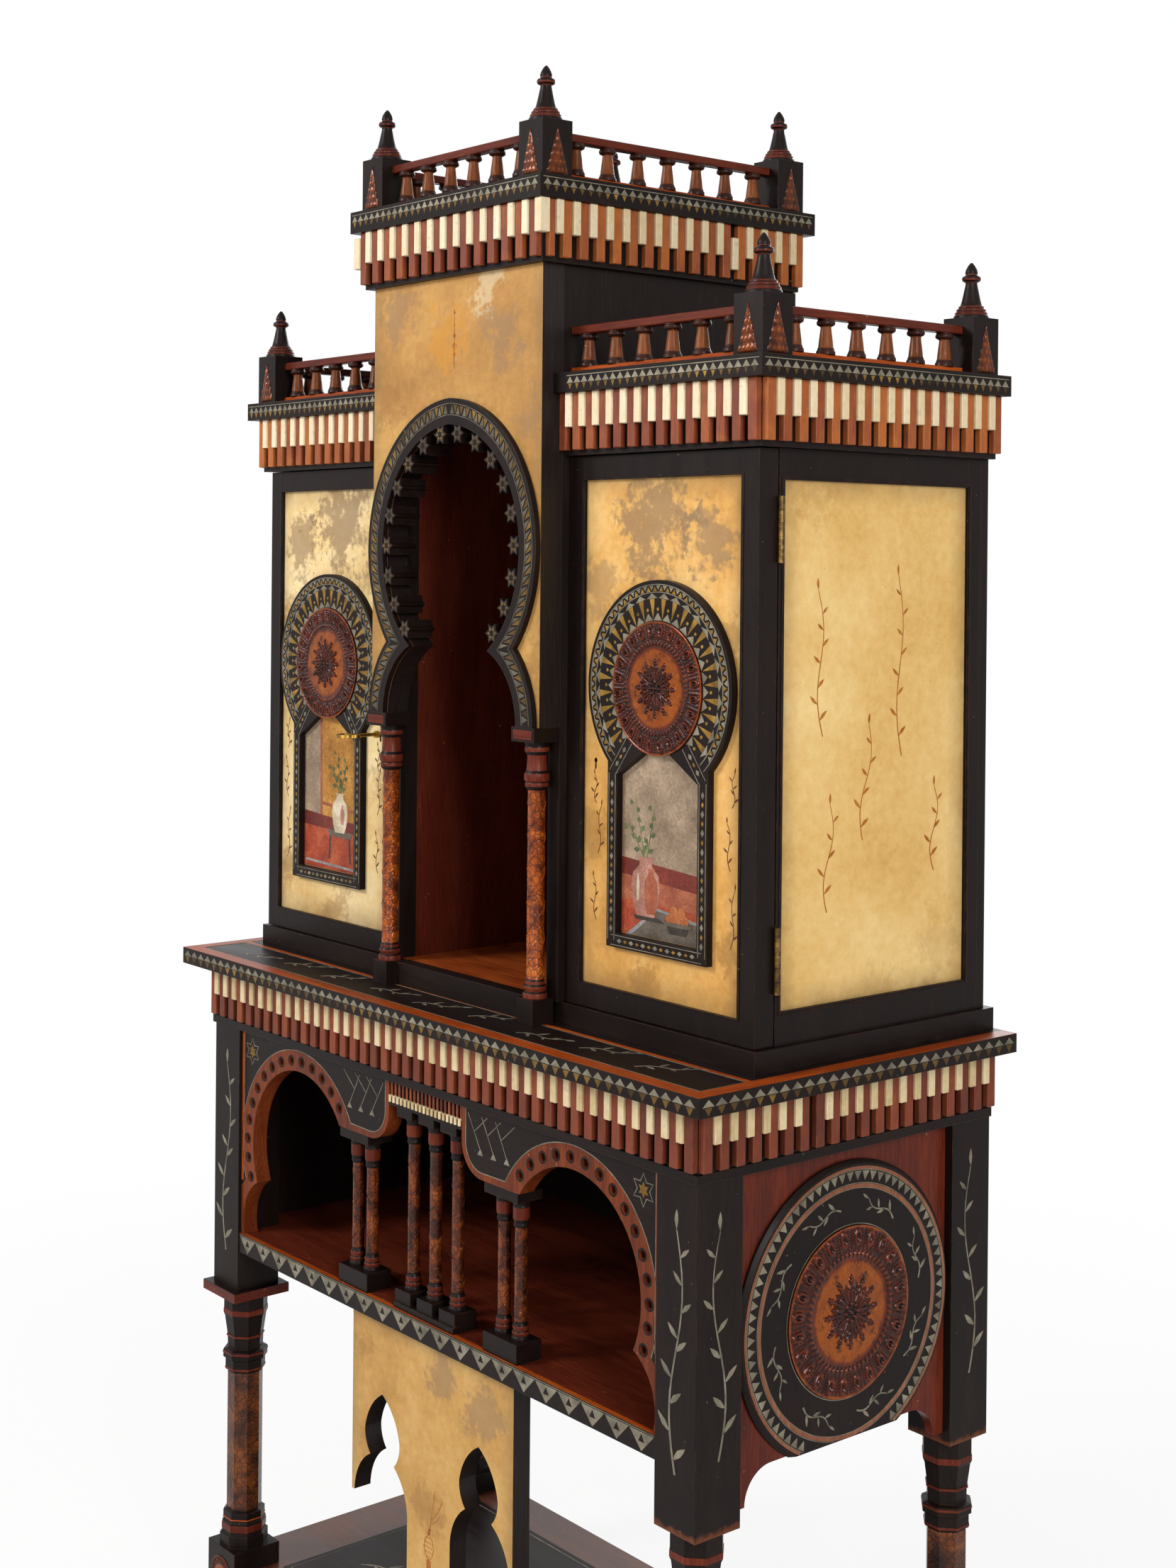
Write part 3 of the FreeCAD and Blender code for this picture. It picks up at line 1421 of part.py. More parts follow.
def check_and_save():
    for thing in document.Objects:
        if "Invalid" in thing.State or "Error" in thing.State:
            raise RuntimeError(f"{thing.Label} failed: {thing.State}")
    for thing in pieces:
        shape = thing.Shape
        if shape.isNull() or not shape.isValid() or not shape.Solids:
            raise RuntimeError(f"{thing.Label} has no sound solid")
    os.makedirs("parts", exist_ok=True)
    for thing in pieces:
        thing.Shape.exportStep(f"parts/{thing.Label}.step")
    solids = sum(len(thing.Shape.Solids) for thing in pieces)
    print(f"{len(pieces)} sub-parts, {solids} solids")


build()
check_and_save()
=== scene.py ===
import json
import math
import random
from functools import partial
from itertools import product

import bmesh
import bpy
from mathutils import Matrix, Vector

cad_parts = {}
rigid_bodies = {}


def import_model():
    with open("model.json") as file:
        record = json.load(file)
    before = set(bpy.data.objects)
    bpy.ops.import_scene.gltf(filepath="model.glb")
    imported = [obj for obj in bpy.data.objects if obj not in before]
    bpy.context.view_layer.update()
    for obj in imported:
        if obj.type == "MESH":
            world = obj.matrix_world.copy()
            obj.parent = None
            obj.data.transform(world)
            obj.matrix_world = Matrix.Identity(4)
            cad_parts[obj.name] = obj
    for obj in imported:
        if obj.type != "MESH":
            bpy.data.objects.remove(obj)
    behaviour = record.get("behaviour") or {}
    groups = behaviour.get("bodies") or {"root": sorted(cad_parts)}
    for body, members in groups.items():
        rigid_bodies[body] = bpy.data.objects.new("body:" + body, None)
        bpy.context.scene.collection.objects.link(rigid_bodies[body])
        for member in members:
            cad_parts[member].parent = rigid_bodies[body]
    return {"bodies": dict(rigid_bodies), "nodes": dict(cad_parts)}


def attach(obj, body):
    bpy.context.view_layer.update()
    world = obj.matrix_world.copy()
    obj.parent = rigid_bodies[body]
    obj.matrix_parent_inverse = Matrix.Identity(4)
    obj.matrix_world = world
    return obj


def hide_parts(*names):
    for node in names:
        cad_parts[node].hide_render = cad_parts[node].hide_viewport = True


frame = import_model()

nodes = frame["nodes"]
loaded = set(nodes.values()) | set(frame["bodies"].values())
for thing in list(bpy.data.objects):
    if thing not in loaded:
        bpy.data.objects.remove(thing)
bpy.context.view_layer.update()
print("frame loaded:", len(nodes), "nodes")


# materials: colours are sRGB hex, scales come from sizes in mm

def toLinear(hexCode):
    channels = [int(hexCode[i:i + 2], 16) / 255 for i in (1, 3, 5)]
    linear = [c / 12.92 if c <= 0.04045 else ((c + 0.055) / 1.055) ** 2.4 for c in channels]
    return (*linear, 1.0)


def addNode(tree, kind, inputs=None, out=0, stops=None, **settings):
    # gives one output, by name or number, or all of them where out is None
    node = tree.nodes.new("ShaderNode" + kind)
    for name, value in settings.items():
        setattr(node, name, value)
    for key, value in (inputs or {}).items():
        if hasattr(value, "is_output"):
            tree.links.new(value, node.inputs[key])
        else:
            node.inputs[key].default_value = toLinear(value) if isinstance(value, str) else value
    if stops:
        first, *between, last = stops
        elements = node.color_ramp.elements
        for element, (position, colour) in ((elements[0], first), (elements[-1], last)):
            element.position, element.color = position, toLinear(colour)
        for position, colour in between:
            elements.new(position).color = toLinear(colour)
    return node.outputs if out is None else node.outputs[out]


def startMaterial(name):
    material = bpy.data.materials.new(name)
    material.use_nodes = True
    material.node_tree.nodes.clear()
    add = partial(addNode, material.node_tree)
    spot = add("TexCoord", out="Object")   # object space is the cabinet's own frame in metres
    return material, add, spot


def endMaterial(material, add, inputs):
    surface = add("BsdfPrincipled", inputs)
    add("OutputMaterial", {"Surface": surface}, None)
    return material


def stretchedNoise(add, spot, across, along, axis, detail=4.0, twist=0.3):
    scale = [1000 / across] * 3
    scale["XYZ".index(axis)] = 1000 / along
    laid = add("Mapping", {"Vector": spot, "Scale": scale})
    return add("TexNoise", {"Vector": laid, "Scale": 1.0, "Detail": detail, "Roughness": 0.6,
                            "Distortion": twist})


def edgeRub(add, spot, reach, share):
    # rounded edge normal, and a mask that rises to a share on rubbed edges
    soft = add("Bevel", {"Radius": reach / 1000}, samples=6)
    flat = add("NewGeometry", out="Normal")
    facing = add("VectorMath", {0: soft, 1: flat}, "Value", operation="DOT_PRODUCT")
    mask = add("MapRange", {"Value": facing, "From Min": 0.985, "From Max": 0.86})
    patchy = add("TexNoise", {"Vector": spot, "Scale": 1000 / 14, "Detail": 5.0})
    chance = add("MapRange", {"Value": patchy, "From Min": 0.45, "From Max": 0.62})
    rub = add("Math", {0: mask, 1: chance}, operation="MULTIPLY")
    return soft, add("Math", {0: rub, 1: share}, operation="MULTIPLY")


def beyond(add, place, axis, test, limit):
    # 1 on one side of a plane given in mm; WIDER and WITHIN count from the middle to both sides
    value = place[axis]
    if test in ("WIDER", "WITHIN"):
        value = add("Math", {0: value}, operation="ABSOLUTE")
    kind = "LESS_THAN" if test in ("LESS", "WITHIN") else "GREATER_THAN"
    return add("Math", {0: value, 1: limit / 1000}, operation=kind)


def woodFinish(name, look, axis):
    # fibres, slow colour drift and open pores along one axis, with rubbed edges
    material, add, spot = startMaterial(name)
    fibre = stretchedNoise(add, spot, look["fibre"], look["fibre"] * 16, axis)
    drift = stretchedNoise(add, spot, look["drift"], look["drift"] * 5, axis, 2.0, 0.8)
    pores = stretchedNoise(add, spot, look["fibre"] * 0.35, look["fibre"] * 7, axis, 2.0, 0.0)
    blend = add("Mix", {0: 0.45, 2: fibre, 3: drift})
    colour = add("ValToRGB", {0: blend}, stops=zip(look["at"], look["tones"]))
    poreMask = add("MapRange", {"Value": pores, "From Min": 0.36, "From Max": 0.28, "To Max": look["pore"]})
    colour = add("Mix", {0: poreMask, 6: colour, 7: look["poreColour"]}, 2, data_type="RGBA")
    soft, rubbed = edgeRub(add, spot, look["ease"], look["rub"])
    colour = add("Mix", {0: rubbed, 6: colour, 7: look["rubColour"]}, 2, data_type="RGBA")
    specks = add("TexNoise", {"Vector": spot, "Scale": 1000 / 5, "Detail": 3.0})
    speckMask = add("MapRange", {"Value": specks, "From Min": 0.735, "From Max": 0.76,
                                 "To Max": look["speck"]})
    colour = add("Mix", {0: speckMask, 6: colour, 7: look["speckColour"]}, 2, data_type="RGBA")
    if "black" in look:   # black beyond the planes given in mm
        place = add("SeparateXYZ", {0: spot}, None)
        dark = 0.0
        for plane in look["black"]:
            dark = add("Math", {0: beyond(add, place, *plane), 1: dark}, operation="MAXIMUM")
        ebony = add("ValToRGB", {0: blend}, stops=zip(ebonyLook["at"], ebonyLook["tones"]))
        colour = add("Mix", {0: dark, 6: colour, 7: ebony}, 2, data_type="RGBA")
    if "worn" in look:   # stain scuffed off towards the foot
        foot, head = look["worn"]
        height = add("SeparateXYZ", {0: spot}, "Z")
        low = add("MapRange", {"Value": height, "From Min": head / 1000, "From Max": foot / 1000})
        scuff = add("TexNoise", {"Vector": spot, "Scale": 1000 / 9, "Detail": 8.0, "Roughness": 0.7})
        both = add("Math", {0: low, 1: scuff}, operation="ADD")
        bare = add("MapRange", {"Value": both, "From Min": 1.16, "From Max": 1.42, "To Max": 0.7})
        colour = add("Mix", {0: bare, 6: colour, 7: "#6e3c22"}, 2, data_type="RGBA")
    polish = add("MapRange", {"Value": drift, "From Min": 0.3, "From Max": 0.7,
                              "To Min": look["rough"] - 0.07, "To Max": look["rough"] + 0.1})
    relief = add("Mix", {0: 0.5, 2: fibre, 3: pores})
    bump = add("Bump", {"Height": relief, "Strength": look["bump"], "Distance": 0.0004, "Normal": soft})
    return endMaterial(material, add, {
        "Base Color": colour, "Roughness": polish, "Normal": bump, "IOR": 1.5,
        "Specular IOR Level": look["gloss"], "Coat Weight": look["coat"], "Coat Roughness": 0.18})


# ebonised pearwood, stained black and waxed: near black, brown where the stain has rubbed off the edges
ebonyLook = {"fibre": 1.6, "drift": 60, "at": (0.3, 0.55, 0.75), "tones": ("#0f0908", "#18100d", "#261a14"),
             "pore": 0.5, "poreColour": "#080504", "ease": 1.1, "rub": 0.5, "rubColour": "#5e3820",
             "speck": 0.4, "speckColour": "#857664", "rough": 0.36, "bump": 0.12, "coat": 0.0, "gloss": 0.1}
# french polished mahogany: red brown with long dark pores under a clear gloss
mahoganyLook = {"fibre": 2.2, "drift": 45, "at": (0.3, 0.5, 0.72), "tones": ("#4a1c0c", "#723212", "#974c1e"),
                "pore": 0.7, "poreColour": "#2e1008", "ease": 1.0, "rub": 0.35, "rubColour": "#a0562c",
                "speck": 0.4, "speckColour": "#c9a88a", "rough": 0.34, "bump": 0.12, "coat": 0.02,
                "gloss": 0.11}
# padouk beading, oiled: the orange red of the bright edges
padoukLook = dict(mahoganyLook, tones=("#6e2a0c", "#984012", "#b8581c"), rubColour="#c97a45", rough=0.32)
# old mahogany of the niche, oiled rather than polished: dark red brown, its tones darkened as painted shade
# for the inside of the niche, hardly shining
nicheLook = dict(mahoganyLook, tones=("#34110a", "#4a1a0e", "#5e2716"), rough=0.42, coat=0.0)
# the same wood stained deeper for the stand's sides, the shelf and turned rings: a wine brown
deepLook = dict(mahoganyLook, tones=("#37130b", "#541f12", "#70301a"), rubColour="#7c4426")
# pearwood bands of the discs, waxed: pinkish brown
pearLook = dict(mahoganyLook, tones=("#5e3624", "#7c4d37", "#976650"), rubColour="#a87c62")

ebonyUpright = woodFinish("ebonisedPearwoodUpright", ebonyLook, "Z")
ebonyAcross = woodFinish("ebonisedPearwoodAcross", ebonyLook, "X")
ebonyPost = woodFinish("ebonisedPearwoodPost", dict(ebonyLook, worn=(457, 479)), "Z")
padoukUpright = woodFinish("padoukOiledUpright", padoukLook, "Z")
padoukAcross = woodFinish("padoukOiledAcross", padoukLook, "X")
padoukDeep = woodFinish("padoukOiledDeep", padoukLook, "Y")
pearBand = woodFinish("pearwoodWaxed", pearLook, "Z")
mahoganyDark = woodFinish("mahoganyStainedTurned", deepLook, "Z")
mahoganyLintel = woodFinish("mahoganyStainedAcross", deepLook, "X")
mahoganyRail = woodFinish("mahoganyStainedDeep", deepLook, "Y")
mahoganyShelf = woodFinish("mahoganyDeepShelf", dict(deepLook, rough=0.3, gloss=0.2), "X")
# boards that are black beyond the planes given: on outside faces, and on the inner faces of the stand's sides
mahoganyStand = woodFinish("mahoganyStainedStand", dict(deepLook, black=[("X", "WITHIN", 445)]), "Z")
mahoganyCollar = woodFinish("mahoganyStainedCollar", dict(deepLook, black=[("Z", "MORE", 468.5)]), "X")
mahoganyTops = woodFinish("mahoganyOiledTops", dict(nicheLook, black=[("Z", "MORE", 1519)]), "X")
mahoganyPartition = woodFinish("mahoganyOiledPartition", dict(
    nicheLook, black=[("X", "WIDER", 143.9), ("Y", "LESS", -112)]), "Z")
mahoganyBack = woodFinish("mahoganyOiledBack", dict(
    nicheLook, black=[("Y", "MORE", 208), ("X", "WIDER", 443)]), "Z")
# cupboard floors, polished: a lively red, brightened as painted light falling from the front
mahoganyFloor = woodFinish("mahoganyPolishedFloor", dict(
    mahoganyLook, tones=("#5e2510", "#904019", "#b86029")), "X")
# drilled bands of the arcade, browned by age
mahoganyArch = woodFinish("mahoganyBrownedArch", dict(
    mahoganyLook, at=(0.28, 0.5, 0.72), tones=("#3a160b", "#5e2811", "#803d1b")), "Z")
# balusters, bleached by handling: browner than the rails, with blackened ends
mahoganyBaluster = woodFinish("mahoganyBleachedTurned", dict(
    mahoganyLook, tones=("#41200f", "#673619", "#8a5029")), "Z")
mahoganyEnds = woodFinish("mahoganyBlackenedTurned", dict(
    deepLook, tones=("#1c0d08", "#2b150e", "#452318")), "Z")
# platform edge: grey brown, the brown wood greyed as a painted sheen
mahoganyPlatform = woodFinish("mahoganyDulledPlatform", dict(
    mahoganyLook, tones=("#33190f", "#4f291b", "#6b3f2a"), rough=0.3, gloss=0.35), "X")
# deal boards of the back, stained thin and left dull: brown black with the grain showing
dealBoards = woodFinish("dealStainedBoards", dict(
    mahoganyLook, tones=("#251811", "#382519", "#4d3525"), rubColour="#67482f", rough=0.5, coat=0.0), "Z")


def billetFinish(name, look):
    # each billet has its own tone, kept as a face value on the mesh
    material, add, spot = startMaterial(name)
    tone = add("Attribute", out="Fac", attribute_name="tone")
    fibre = stretchedNoise(add, spot, look["fibre"], look["fibre"] * 14, "Z")
    blotch = add("TexNoise", {"Vector": spot, "Scale": 1000 / look["blotch"], "Detail": 6.0})
    blend = add("Mix", {0: 0.5, 2: fibre, 3: blotch})
    blend = add("Mix", {0: 0.5, 2: blend, 3: tone})
    colour = add("ValToRGB", {0: blend}, stops=look["stops"])
    soft, rubbed = edgeRub(add, spot, 0.8, look["rub"])
    colour = add("Mix", {0: rubbed, 6: colour, 7: look["rubColour"]}, 2, data_type="RGBA")
    stain = add("MapRange", {"Value": blotch, "From Min": 0.6, "From Max": 0.72, "To Max": look["stain"]})
    colour = add("Mix", {0: stain, 6: colour, 7: look["stainColour"]}, 2, data_type="RGBA")
    bump = add("Bump", {"Height": fibre, "Strength": 0.2, "Distance": 0.0004, "Normal": soft})
    return endMaterial(material, add, {"Base Color": colour, "Normal": bump, "Roughness": look["rough"],
                                       "Specular IOR Level": 0.25})


# stained red billets: open grained, dull, some lighter towards orange by random tone, and lighter still on
# the upper friezes as painted light
redBillet = billetFinish("redStainedBeech", {
    "fibre": 1.4, "blotch": 30, "stops": [(0.25, "#3e180f"), (0.48, "#73351f"), (0.75, "#b4682c")],
    "rub": 0.4, "rubColour": "#c08055", "stain": 0.4, "stainColour": "#3a1810", "rough": 0.52})
# cream billets: painted bone white, yellowed and dirty in patches
creamBillet = billetFinish("creamPaintedLime", {
    "fibre": 1.2, "blotch": 9, "stops": [(0.25, "#a0865a"), (0.45, "#c9b48d"), (0.7, "#e3d4b8")],
    "rub": 0.35, "rubColour": "#b08a58", "stain": 0.35, "stainColour": "#7d6a49", "rough": 0.48})


def vellumFinish(name, look):
    # stretched calf vellum, varnished: cloudy gold, fine wrinkles, brown water stains and grimed margins
    material, add, spot = startMaterial(name)
    cloud = add("TexNoise", {"Vector": spot, "Scale": 1000 / look["cloud"], "Detail": 5.0, "Roughness": 0.55})
    mottle = add("TexNoise", {"Vector": spot, "Scale": 1000 / 11, "Detail": 8.0, "Roughness": 0.7})
    blend = add("Mix", {0: 0.35, 2: cloud, 3: mottle})
    colour = add("ValToRGB", {0: blend}, stops=zip((0.3, 0.48, 0.68), look["tones"]))
    ragged = add("TexNoise", {"Vector": spot, "Scale": 1000 / 34, "Detail": 10.0, "Roughness": 0.62})
    grit = add("TexNoise", {"Vector": spot, "Scale": 1000 / 8, "Detail": 7.0, "Roughness": 0.7})
    edges = add("Mix", {0: 0.42, 2: ragged, 3: grit})
    for centre, reach, weight, tint in look["stains"]:
        away = add("VectorMath", {0: spot, 1: [c / 1000 for c in centre]}, "Value", operation="DISTANCE")
        ring = add("MapRange", {"Value": away, "From Min": reach / 1000, "From Max": 0.0, "To Max": 0.3})
        both = add("Math", {0: ring, 1: edges}, operation="ADD")
        mask = add("MapRange", {"Value": both, "From Min": 0.65, "From Max": 0.73, "To Max": weight})
        colour = add("Mix", {0: mask, 6: colour, 7: tint}, 2, data_type="RGBA")
    spots = add("TexNoise", {"Vector": spot, "Scale": 1000 / 4, "Detail": 3.0})
    fly = add("MapRange", {"Value": spots, "From Min": 0.72, "From Max": 0.76, "To Max": 0.55})
    colour = add("Mix", {0: fly, 6: colour, 7: "#6d5433"}, 2, data_type="RGBA")
    place = add("SeparateXYZ", {0: spot}, None)
    for axis, low, high in look["margins"]:   # grime that creeps in from the edges of the panel
        near, far = [add("MapRange", {"Value": place[axis], "From Min": clean / 1000, "From Max": rim / 1000})
                     for clean, rim in ((low + 26, low), (high - 26, high))]
        edge = add("Math", {0: near, 1: far}, operation="MAXIMUM")
        dirt = add("Math", {0: edge, 1: ragged}, operation="MULTIPLY")
        colour = add("Mix", {0: dirt, 6: colour, 7: "#7b5f37"}, 2, data_type="RGBA")
    *plane, board = look["backing"]   # the board behind the vellum shows at the edges and inside
    grain = stretchedNoise(add, spot, 2.0, 40, "Z")
    grain = add("ValToRGB", {0: grain}, stops=zip(board["at"], board["tones"]))
    colour = add("Mix", {0: beyond(add, place, *plane), 6: colour, 7: grain}, 2, data_type="RGBA")
    wrinkle = add("TexNoise", {"Vector": spot, "Scale": 1000 / 6, "Detail": 6.0, "Distortion": 0.6})
    bump = add("Bump", {"Height": wrinkle, "Strength": 0.25, "Distance": 0.0006})
    return endMaterial(material, add, {"Base Color": colour, "Normal": bump, "Roughness": 0.46, "IOR": 1.47,
                                       "Specular IOR Level": 0.25})


# vellum panels: where each lies and how thick the skin is, in mm
doorPanel = {"face": -122.0, "skin": 0.3, "inner": 190.5, "outer": 438.0, "bottom": 952.6, "top": 1492.7}
sidePanel = {"face": 460.0, "skin": 0.3, "front": -90.0, "back": 186.5, "bottom": 957.8, "top": 1490.0}
towerPanel = {"face": -165.0, "skin": 0.2, "half": 163.5}
supportPanel = {"face": -187.0, "skin": 0.2, "half": 158.0, "bottom": 105.0, "top": 519.0}
doorSides = (("left", -1), ("right", 1))
greyStain, brownStain, yellowPatch, palePatch = "#80664a", "#7f5526", "#b87d22", "#d9cba6"
doorTones = {"left": ("#bf9553", "#dabc84", "#ead7ae"), "right": ("#a8732e", "#c99750", "#dcb677")}
# across, height, reach, weight and tint of each stain
doorStains = [(300, 1450, 120, 0.75, greyStain), (390, 1425, 85, 0.7, greyStain),
              (215, 1380, 70, 0.5, greyStain), (420, 1330, 55, 0.45, brownStain),
              (205, 1120, 60, 0.4, brownStain), (425, 1010, 60, 0.5, brownStain),
              (300, 960, 60, 0.45, brownStain)]
towerStains = [(-20, 1670, 85, 0.6, yellowPatch), (90, 1660, 80, 0.55, greyStain),
               (-110, 1700, 75, 0.55, greyStain), (60, 1720, 60, 0.4, palePatch),
               (-130, 1590, 60, 0.4, brownStain), (140, 1560, 60, 0.45, greyStain),
               (150, 1300, 60, 0.4, brownStain)]
supportStains = [(22, 482, 62, 0.6, greyStain), (104, 464, 74, 0.6, greyStain),
                 (-135, 480, 45, 0.4, brownStain), (0, 330, 60, 0.4, brownStain),
                 (-120, 360, 50, 0.4, brownStain)]


def frontStains(panel, stains, side=1):
    return [((u * side, panel["face"], v), *rest) for u, v, *rest in stains]


doorVellum = {}
for sideName, side in doorSides:
    doorVellum[sideName] = vellumFinish("vellumDoor" + sideName.capitalize(), {
        "cloud": 130, "tones": doorTones[sideName], "stains": frontStains(doorPanel, doorStains, side),
        "backing": ("Y", "MORE", doorPanel["face"] + doorPanel["skin"], nicheLook),
        "margins": [("X", *sorted((doorPanel["inner"] * side, doorPanel["outer"] * side))),
                    ("Z", doorPanel["bottom"], doorPanel["top"])]})
sideVellum = vellumFinish("vellumSidePanel", {
    "cloud": 190, "tones": ("#b88c44", "#cfa866", "#dfc286"),
    "stains": [((460, -40, 1470), 60, 0.2, brownStain), ((460, 150, 1000), 70, 0.18, brownStain),
               ((-460, 60, 1430), 90, 0.35, greyStain), ((460, 60, 965), 60, 0.15, brownStain)],
    "backing": ("X", "WITHIN", sidePanel["face"] - sidePanel["skin"], nicheLook),
    "margins": [("Y", sidePanel["front"], sidePanel["back"]), ("Z", sidePanel["bottom"], sidePanel["top"])]})
towerVellum = vellumFinish("vellumTower", {
    "cloud": 110, "tones": ("#8a622e", "#a97b40", "#c49a58"), "stains": frontStains(towerPanel, towerStains),
    "backing": ("Y", "MORE", towerPanel["face"] + towerPanel["skin"], ebonyLook),
    "margins": [("X", -towerPanel["half"], towerPanel["half"])]})
supportVellum = vellumFinish("vellumSupportPanel", {
    "cloud": 120, "tones": ("#976c30", "#b58a4a", "#cba868"),
    "stains": frontStains(supportPanel, supportStains),
    "backing": ("Y", "MORE", supportPanel["face"] + supportPanel["skin"], ebonyLook),
    "margins": [("X", -supportPanel["half"], supportPanel["half"]),
                ("Z", supportPanel["bottom"], supportPanel["top"])]})


def metalFinish(name, look):
    # dulled sheet metal: tarnish in clouds, fine scratches across
    material, add, spot = startMaterial(name)
    tarnish = add("TexNoise", {"Vector": spot, "Scale": 1000 / look["tarnish"], "Detail": 6.0})
    scratch = stretchedNoise(add, spot, 0.6, 9, "X", 2.0, 0.2)
    colour = add("ValToRGB", {0: tarnish}, stops=look["stops"])
    rough = add("MapRange", {"Value": tarnish, "From Min": 0.3, "From Max": 0.7,
                             "To Min": look["rough"] + 0.12, "To Max": look["rough"] - 0.08})
    soft = add("Bevel", {"Radius": 0.0004}, samples=4)
    bump = add("Bump", {"Height": scratch, "Strength": 0.12, "Distance": 0.0002, "Normal": soft})
    return endMaterial(material, add, {"Base Color": colour, "Roughness": rough, "Normal": bump,
                                       "Metallic": look["metallic"]})


# pewter stringing, rubbed flush and oxidised: a warm grey that hardly mirrors
pewter = metalFinish("pewterRubbed", {"tarnish": 18, "rough": 0.5, "metallic": 0.55,
                                      "stops": [(0.3, "#575245"), (0.5, "#736c5b"), (0.7, "#8b8370")]})
# the same pewter, never rubbed bright
pewterDull = metalFinish("pewterDulled", {"tarnish": 18, "rough": 0.5, "metallic": 0.5,
                                          "stops": [(0.3, "#38342b"), (0.5, "#4d4739"), (0.7, "#686050")]})
# sheet brass inlay, tarnished: dull gold
brassInlay = metalFinish("brassInlaid", {"tarnish": 16, "rough": 0.42, "metallic": 0.7,
                                         "stops": [(0.3, "#5c4217"), (0.5, "#82601f"), (0.7, "#a88138")]})
# bronze sheet, browned: gold only in places
bronzeInlay = metalFinish("bronzeBrowned", {"tarnish": 60, "rough": 0.42, "metallic": 0.7,
                                            "stops": [(0.35, "#35260f"), (0.5, "#5a4119"), (0.7, "#94702c")]})
# cast brass fittings, handled: brighter where worn
brassCast = metalFinish("brassCast", {"tarnish": 9, "rough": 0.34, "metallic": 1.0,
                                      "stops": [(0.3, "#6b4f20"), (0.5, "#9c7a38"), (0.7, "#c7a45c")]})
# brass butts that were never polished: brown with a little gold on the knuckles
brassHinge = metalFinish("brassBrowned", {"tarnish": 7, "rough": 0.46, "metallic": 0.85,
                                          "stops": [(0.3, "#2e2214"), (0.52, "#553f20"), (0.75, "#8a6b34")]})
# wrought iron lock cases, blackened
ironBlack = metalFinish("ironBlackened", {"tarnish": 12, "rough": 0.55, "metallic": 0.9,
                                          "stops": [(0.3, "#1f1d1c"), (0.5, "#353230"), (0.7, "#4a4643")]})


def embossedFinish(name, look):
    # thin copper beaten over a mould and lacquered: the tone kept on the mesh runs from dark brown, painted
    # shade in the hollows and grooves, through lighter raised parts, painted highlight, to orange on the
    # plain field
    material, add, spot = startMaterial(name)
    relief = add("Attribute", out="Fac", attribute_name="relief")
    patina = add("TexNoise", {"Vector": spot, "Scale": 1000 / look["patina"], "Detail": 7.0,
                              "Roughness": 0.65})
    fine = add("TexNoise", {"Vector": spot, "Scale": 1000 / 2.2, "Detail": 4.0})
    lift = add("MapRange", {"Value": patina, "From Min": 0.3, "From Max": 0.7,
                            "To Min": -0.12, "To Max": 0.12})
    height = add("Math", {0: relief, 1: lift}, operation="ADD")
    colour = add("ValToRGB", {0: height}, stops=look["stops"])
    soot = add("TexNoise", {"Vector": spot, "Scale": 1000 / 10, "Detail": 9.0, "Roughness": 0.72})
    grime = add("MapRange", {"Value": soot, "From Min": 0.51, "From Max": 0.63, "To Max": 0.75})
    colour = add("Mix", {0: grime, 6: colour, 7: "#1c0a05"}, 2, data_type="RGBA")
    bump = add("Bump", {"Height": fine, "Strength": 0.2, "Distance": 0.0004})
    rough = add("MapRange", {"Value": height, "To Min": 0.24, "To Max": 0.14})
    return endMaterial(material, add, {"Base Color": colour, "Normal": bump, "Roughness": rough,
                                       "Metallic": 0.2, "Specular IOR Level": 0.2})


copperBoss = embossedFinish("copperEmbossed", {"patina": 16, "stops": [
    (0.05, "#0c0402"), (0.3, "#351207"), (0.55, "#64260e"), (0.78, "#8a4409"), (1.0, "#ab5c1c")]})
copperPost = embossedFinish("copperEmbossedPosts", {"patina": 12, "stops": [
    (0.05, "#0e0502"), (0.3, "#3c1806"), (0.5, "#6e320b"), (0.75, "#934e15"), (1.0, "#ae6a28")]})


def shaftFinish(name, patch, *tones):
    # turned shafts covered in beaten copper, shellac varnished: amber, red and near black in drifting patches
    material, add, spot = startMaterial(name)
    drift = add("TexNoise", {"Vector": spot, "Scale": 1000 / patch, "Detail": 6.0, "Roughness": 0.62,
                             "Distortion": 0.8})
    colour = add("ValToRGB", {0: drift}, stops=zip((0.3, 0.43, 0.56, 0.74), tones))
    cells = add("TexVoronoi", {"Vector": spot, "Scale": 1000 / 7.0}, "Distance", feature="DISTANCE_TO_EDGE")
    line = add("MapRange", {"Value": cells, "From Min": 0.03, "From Max": 0.14})
    dark = add("MapRange", {"Value": line, "To Min": 0.6, "To Max": 0.0})
    colour = add("Mix", {0: dark, 6: colour, 7: "#24120a"}, 2, data_type="RGBA")
    bump = add("Bump", {"Height": line, "Strength": 0.5, "Distance": 0.0005})
    return endMaterial(material, add, {
        "Base Color": colour, "Normal": bump, "Roughness": 0.28, "Metallic": 0.2, "Specular IOR Level": 0.25,
        "Coat Weight": 0.06, "Coat Roughness": 0.1})


amberShaft = shaftFinish("copperBeatenShaft", 24, "#2a1006", "#6a2a0a", "#9c480e", "#b46418")
emberShaft = shaftFinish("copperDarkenedShaft", 24, "#180a04", "#3e1808", "#6c2f0b", "#8d4914")
brownShaft = shaftFinish("copperBrownedShaft", 30, "#1d0d07", "#40200f", "#613012", "#824718")


